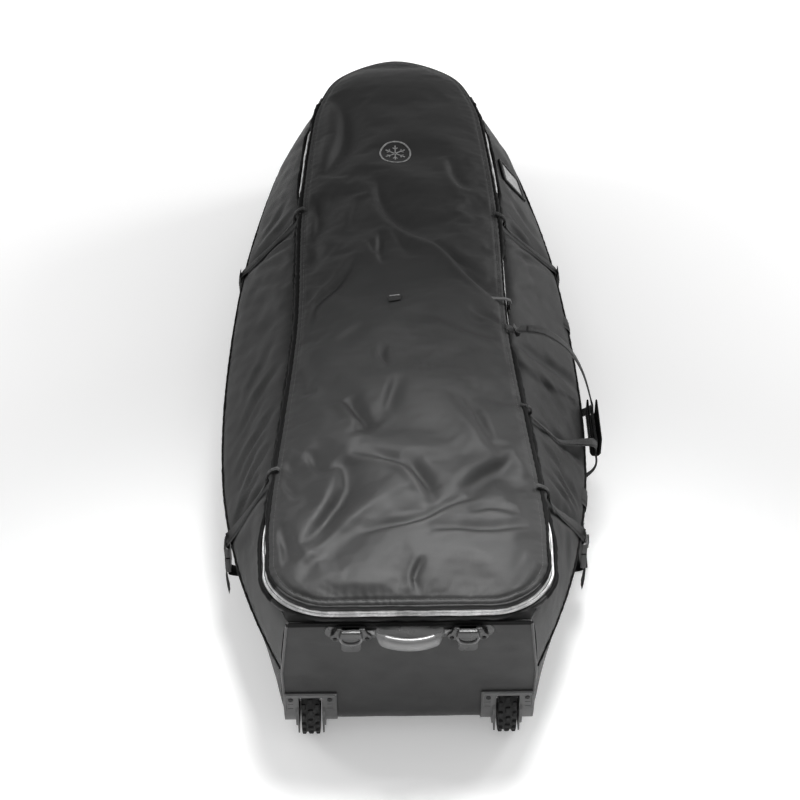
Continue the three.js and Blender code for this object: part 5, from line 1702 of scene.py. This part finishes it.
def make_carry_handle():
    for name, body, arms, level_z, widths in (
            ("front", "lid", front_arms(), 9,
             [22, 23, 24, 24, 22, 19, 15, 15, 15, 15, 15, 14, 10, 8, 7, 7, 7, 7]),
            ("back", "shell", back_arms(), -9, [19, 19, 19, 15, 15, 15, 15, 15, 15, 15, 19, 19, 19])):
        places = carry_loop(arms, level_z)
        loop = band(f"carry_webbing_{name}", places, widths, SATIN_WEBBING, 2.6)
        put(loop, body, "webbing", f"carry_loop_{name}")
    low, high = node_box("carry_wrap")
    x, z0, z1 = (low[0] + high[0]) / 2, low[2], high[2]
    outside = 9.0
    inside = 5.9
    lip = (outside + inside) / 2
    bow = [(-outside, z1 - 2), (-outside, z0 + 7), (-outside + 2.4, z0 + 2), (-4, z0), (4, z0),
           (outside - 2.4, z0 + 2), (outside, z0 + 7), (outside, z1 - 2), (lip, z1), (inside, z1 - 2),
           (inside, z0 + 7.5), (4.2, z0 + 4), (-4.2, z0 + 4), (-inside, z0 + 7.5), (-inside, z1 - 2),
           (-lip, z1)]
    rows = np.linspace(low[1], high[1], 40)
    ends = np.minimum(rows - low[1], high[1] - rows)
    middle_z = (z0 + z1) / 2
    profile = np.array([[(px, z - middle_z) for px, z in bow] for _ in rows])
    pull_in = 1 - 0.05 * np.exp(-ends / 3)
    profile[..., 1] *= pull_in[:, None]
    path = np.stack([np.full(40, x), rows, np.full(40, middle_z)], axis=1)
    sleeve = sweep("hand_wrap_sleeve", path[::-1], UP, profile, SHADED_PIPING, smooth_angle=45)
    seams = [sleeve]
    for face in (-1, 1):
        for z in (z0 + 6, z1 - 5):
            line = np.array([(x + face * outside, y, z) for y in np.linspace(low[1] + 4, high[1] - 4, 30)])
            normals = np.broadcast_to([face, 0, 0], line.shape)
            seams.append(stitches(f"wrap_stitch_{face}_{int(z)}", line, normals, 3.0, 1.8, 0.8, GREY_THREAD))
    put(joined("hand_wrap", seams), "shell", "webbing", "carry_wrap")


# ---- Shoulder strap ----

def make_rings_and_hooks():
    feet = {}
    for name, s in RING_S.items():
        low, high = node_box(f"d_ring_{name}")
        x, y = (low[0] + high[0]) / 2, TAIL_Y + s
        half, radius = (high[1] - low[1]) / 2 - 2, 2.0
        top, straight = high[2] - 2, 13
        wire = [(x, y - half, top), (x, y - half, top - straight + 2)]
        wire += [(x, y + half * math.cos(a), top - straight + 2 + half * math.sin(a))
                 for a in np.linspace(math.pi, 2 * math.pi, 26)[1:-1]]
        wire += [(x, y + half, top - straight + 2), (x, y + half, top)]
        wire = resample(wire, 2.2)
        parts = [sweep(f"ring_wire_{name}", wire, RIGHT, round_profile(radius, radius, 12), DARK_METAL),
                 sweep(f"ring_bar_{name}", [(x, y - half - 1, top), (x, y + half + 1, top)], RIGHT,
                       round_profile(radius, radius, 12), DARK_METAL)]
        put(joined(f"wire_d_ring_{name}", parts), "shell", "dark_metal", f"d_ring_{name}")
        keeper = [on_side(1, s, u, off) for u, off in ((1.72, 3.2), (1.86, 4.0), (2.0, 4.2))]
        keeper += [(place(x + across, s, top + up), out) for across, up, out in (
            (4.2, 2, [1.0, 0, 0]), (2.0, -4.2, [0.4, 0, -1.0]),
            (-3.4, -1, [-1.0, 0, 0]), (-3.6, 14, [-1.0, 0, 0.0]))]
        put(band(f"ring_keeper_{name}", keeper, [36, 36, 36, 34, 34, 34, 34], WEBBING), "shell", "webbing")
        hook_low, _ = node_box(f"snap_hook_{name}")
        hook = [refined(f"snap_hook_{name}", DARK_METAL, 0.8)]
        frame_z = hook_low[2] + 6
        hook.append(lathe(f"swivel_{name}", [(4.1, 9.0), (6.0, 9.4), (6.2, 12.5), (5.2, 14), (4.1, 14)],
                          np.array([x, y, frame_z - 6]), UP, DARK_METAL, 28))
        gate = np.array([(x + 8.4, y, frame_z + 27), (x + 10.2, y, frame_z + 36), (x + 8.6, y, frame_z + 45)])
        hook.append(sweep(f"gate_{name}", resample(catmull_rom(gate, 6), 2), [0, 1, 0],
                          round_profile(1.4, 1.8, 10), STEEL))
        put(joined(f"swivel_hook_{name}", hook), "shell", "dark_metal", f"snap_hook_{name}")
        feet[name] = (x - 2, hook_low[2])
    return feet


ADJUSTER_S = 640
STRAP_WIDTH = 38


def make_shoulder_strap(feet):
    """The strap hangs from the upper hook, lies folded on the floor, and climbs to the lower hook."""
    x, upper_foot = feet["upper"]
    lower_foot = feet["lower"][1]
    upper, lower = RING_S["upper"], RING_S["lower"]
    floor, layer = 1.6, 5
    route = [
        (upper, upper_foot - 2), (upper - 4, 27), (upper - 18, 10), (upper - 45, floor + 1),
        (upper - 75, floor), (600, floor), (480, floor), (420, floor), (350, floor), (344, floor + layer / 2),
        (350, floor + layer), (420, floor + layer), (480, floor + layer), (560, floor + layer),
        (566, floor + layer * 1.5), (560, floor + layer * 2), (500, floor + layer * 2),
        (430, floor + layer * 2), (395, floor + layer * 2 + 2), (368, 24), (lower + 4, 40),
        (lower, lower_foot - 2),
    ]
    curve = resample(catmull_rom(route, 8), 4)
    curve[:, 1] = np.maximum(curve[:, 1], floor - 0.2)
    steps = unit(np.gradient(curve, axis=0))
    sway = 2.0 * ripple(curve[:, 0], curve[:, 1] * 8, 260, 81)
    path = place(x + sway * smoothstep(60, 20, curve[:, 1]), curve[:, 0], curve[:, 1])
    normals = np.stack([np.zeros(len(curve)), -steps[:, 1], steps[:, 0]], axis=1)
    strap = sweep("shoulder_webbing", path, normals, flat_profile(STRAP_WIDTH, 1.8), WEBBING, smooth_angle=60)
    pieces = [strap]
    s, z = ADJUSTER_S, floor + 1.4
    outer = [(x + 23 * a, TAIL_Y + s + 13 * b) for a, b in ((-1, -1), (1, -1), (1, 1), (-1, 1))]
    pieces.append(solid_shape("strap_adjuster", outer, 2, z, z + 3, BUCKLE_PLASTIC, 1.0))
    for d in (-6.5, 0, 6.5):
        line = [(x - 19, TAIL_Y + s + d, z + 3.2), (x + 19, TAIL_Y + s + d, z + 3.2)]
        pieces.append(rod(f"adjuster_bar_{d}", line, UP, 1.5, 1.2, BUCKLE_PLASTIC))
    for name, foot in (("upper", upper_foot), ("lower", lower_foot)):
        y = TAIL_Y + RING_S[name]
        fold_line = np.array([(x, y + 2.6, foot - 4), (x, y + 2.9, foot + 4), (x, y + 1.2, foot + 7.2),
                              (x, y - 1.2, foot + 7.2), (x, y - 2.9, foot + 4), (x, y - 2.6, foot - 4)])
        outs = unit(fold_line - np.array([x, y, foot + 1]))
        pieces.append(sweep(f"strap_return_{name}", fold_line, outs, flat_profile(36, 1.6), WEBBING))
    put(joined("shoulder_strap_webbing", pieces), "shell", "webbing", "shoulder_strap")


# ---- Slider, pull and card window ----

def make_slider_and_pull():
    put(refined("zip_slider", DARK_METAL, 0.8), "slider", "dark_metal", "zip_slider")
    put(refined("zip_pull", PULL_CORD, 0.5, name="pull_cord_flat"), "pull", "webbing", "zip_pull")


def make_card_window():
    s0, s1 = CARD_S - CARD_HALF, CARD_S + CARD_HALF
    rows = np.linspace(1.30, 1.75, 13)
    columns = np.linspace(s0, s1, 15)
    film = np.stack([[on_side(1, s, u, 6.0)[0] for s in columns] for u in rows])
    normals = np.stack([[on_side(1, s, u, 0)[1] for s in columns] for u in rows])
    window = slab("card_window_film", film, film - normals * 2.5, FILM)
    put(window, "shell", "clear_window", "name_card_window")
    border = [(s, rows[0]) for s in columns] + [(s1, u) for u in rows[1:]]
    border += [(s, rows[-1]) for s in columns[::-1][1:]] + [(s0, u) for u in rows[::-1][1:-1]]
    places = [on_side(1, s, u, 5.6) for s, u in border]
    path, outs = np.array([p for p, _ in places]), np.array([n for _, n in places])
    edge = sweep("card_window_border", path, outs, flat_profile(8, 3.6), WEBBING, closed=True)
    put(edge, "shell", "webbing")


def dress_inner_boards():
    for node in ("base_stiffener", "tail_stiffener"):
        put(refined(node, BOARD, 0.4), "shell", "board", node)


# ---- Stage, lights and camera ----

WORLD_LIGHT = 0.52
FLOOR_GLOW = 0.22


def make_stage():
    bpy.ops.mesh.primitive_plane_add(size=30, location=(0, 0, 0))
    floor = bpy.context.object
    floor.name = "floor"
    g = Graph("pale_floor", roughness=0.9, specular=0.1)
    speckle = g.noise(3.0, 3.0)
    g.shader.inputs["Emission Color"].default_value = (1, 1, 1, 1)
    g.shader.inputs["Emission Strength"].default_value = FLOOR_GLOW
    tint = g.mix_colours(speckle, (0.93, 0.93, 0.93, 1), (0.95, 0.95, 0.95, 1))
    floor.data.materials.append(g.finish(tint))
    world = bpy.data.worlds.new("studio")
    bpy.context.scene.world = world
    world.use_nodes = True
    background = world.node_tree.nodes["Background"]
    background.inputs[0].default_value = (1, 1, 1, 1)
    background.inputs[1].default_value = WORLD_LIGHT


# Soft boxes: name, place and target in metres, size, watts, spread in degrees.
LIGHTS = [
    ("overhead", (0.15, 0.05, 1.9), (0.0, -1.0, 0.25), 0.8, 8.5, 54),
    ("front", (-0.4, -3.3, 2.3), (0.0, -0.75, 0.2), 0.9, 9, 180),
    ("right", (2.3, 1.5, 1.15), (0.0, 0.4, 0.25), 0.7, 30, 180),
    ("left", (-2.5, 0.8, 1.2), (0.0, 0.2, 0.2), 0.9, 20, 180),
    ("floor_behind", (0.0, 1.95, 1.2), (0.0, 1.95, 0.0), 1.2, 9, 88),
]


def make_lights():
    for name, where, target, size, watts, spread in LIGHTS:
        data = bpy.data.lights.new(name, "AREA")
        data.shape, data.size, data.energy, data.spread = "DISK", size, watts, math.radians(spread)
        lamp = add_object(name, data)
        lamp.location = where
        lamp.rotation_euler = (Vector(target) - Vector(where)).to_track_quat("-Z", "Y").to_euler()


CAMERA_PLACE = (-0.045, TAIL_Y * MM - 1.973, 2.571)
CAMERA_PITCH = 43.3
CAMERA_YAW = -0.91
CAMERA_LENS = 93.6


def make_camera():
    data = bpy.data.cameras.new("camera")
    data.lens, data.sensor_width = CAMERA_LENS, 36
    data.clip_start, data.clip_end = 0.05, 60
    camera = add_object("camera", data)
    camera.location = CAMERA_PLACE
    camera.rotation_euler = (math.radians(90 - CAMERA_PITCH), 0, math.radians(CAMERA_YAW))
    bpy.context.scene.camera = camera
    bpy.context.scene.view_settings.view_transform = "Standard"


# ---- The whole bag ----

make_camera()
make_stage()
make_lights()
lid_slack = simulate_lid_slack()
make_lid_cloth()
make_lid_lining()
make_rim()
make_corner_gussets()
make_nose_piping()
make_lid_stitching()
make_zip_stops()
make_badge()
make_tab()
make_sides()
make_side_pipings()
make_back()
make_wrap()
make_wrap_trims()
make_wheels()
make_tail_handle()
make_skid()
make_compression_straps()
make_carry_handle()
make_shoulder_strap(make_rings_and_hooks())
make_slider_and_pull()
make_card_window()
dress_inner_boards()
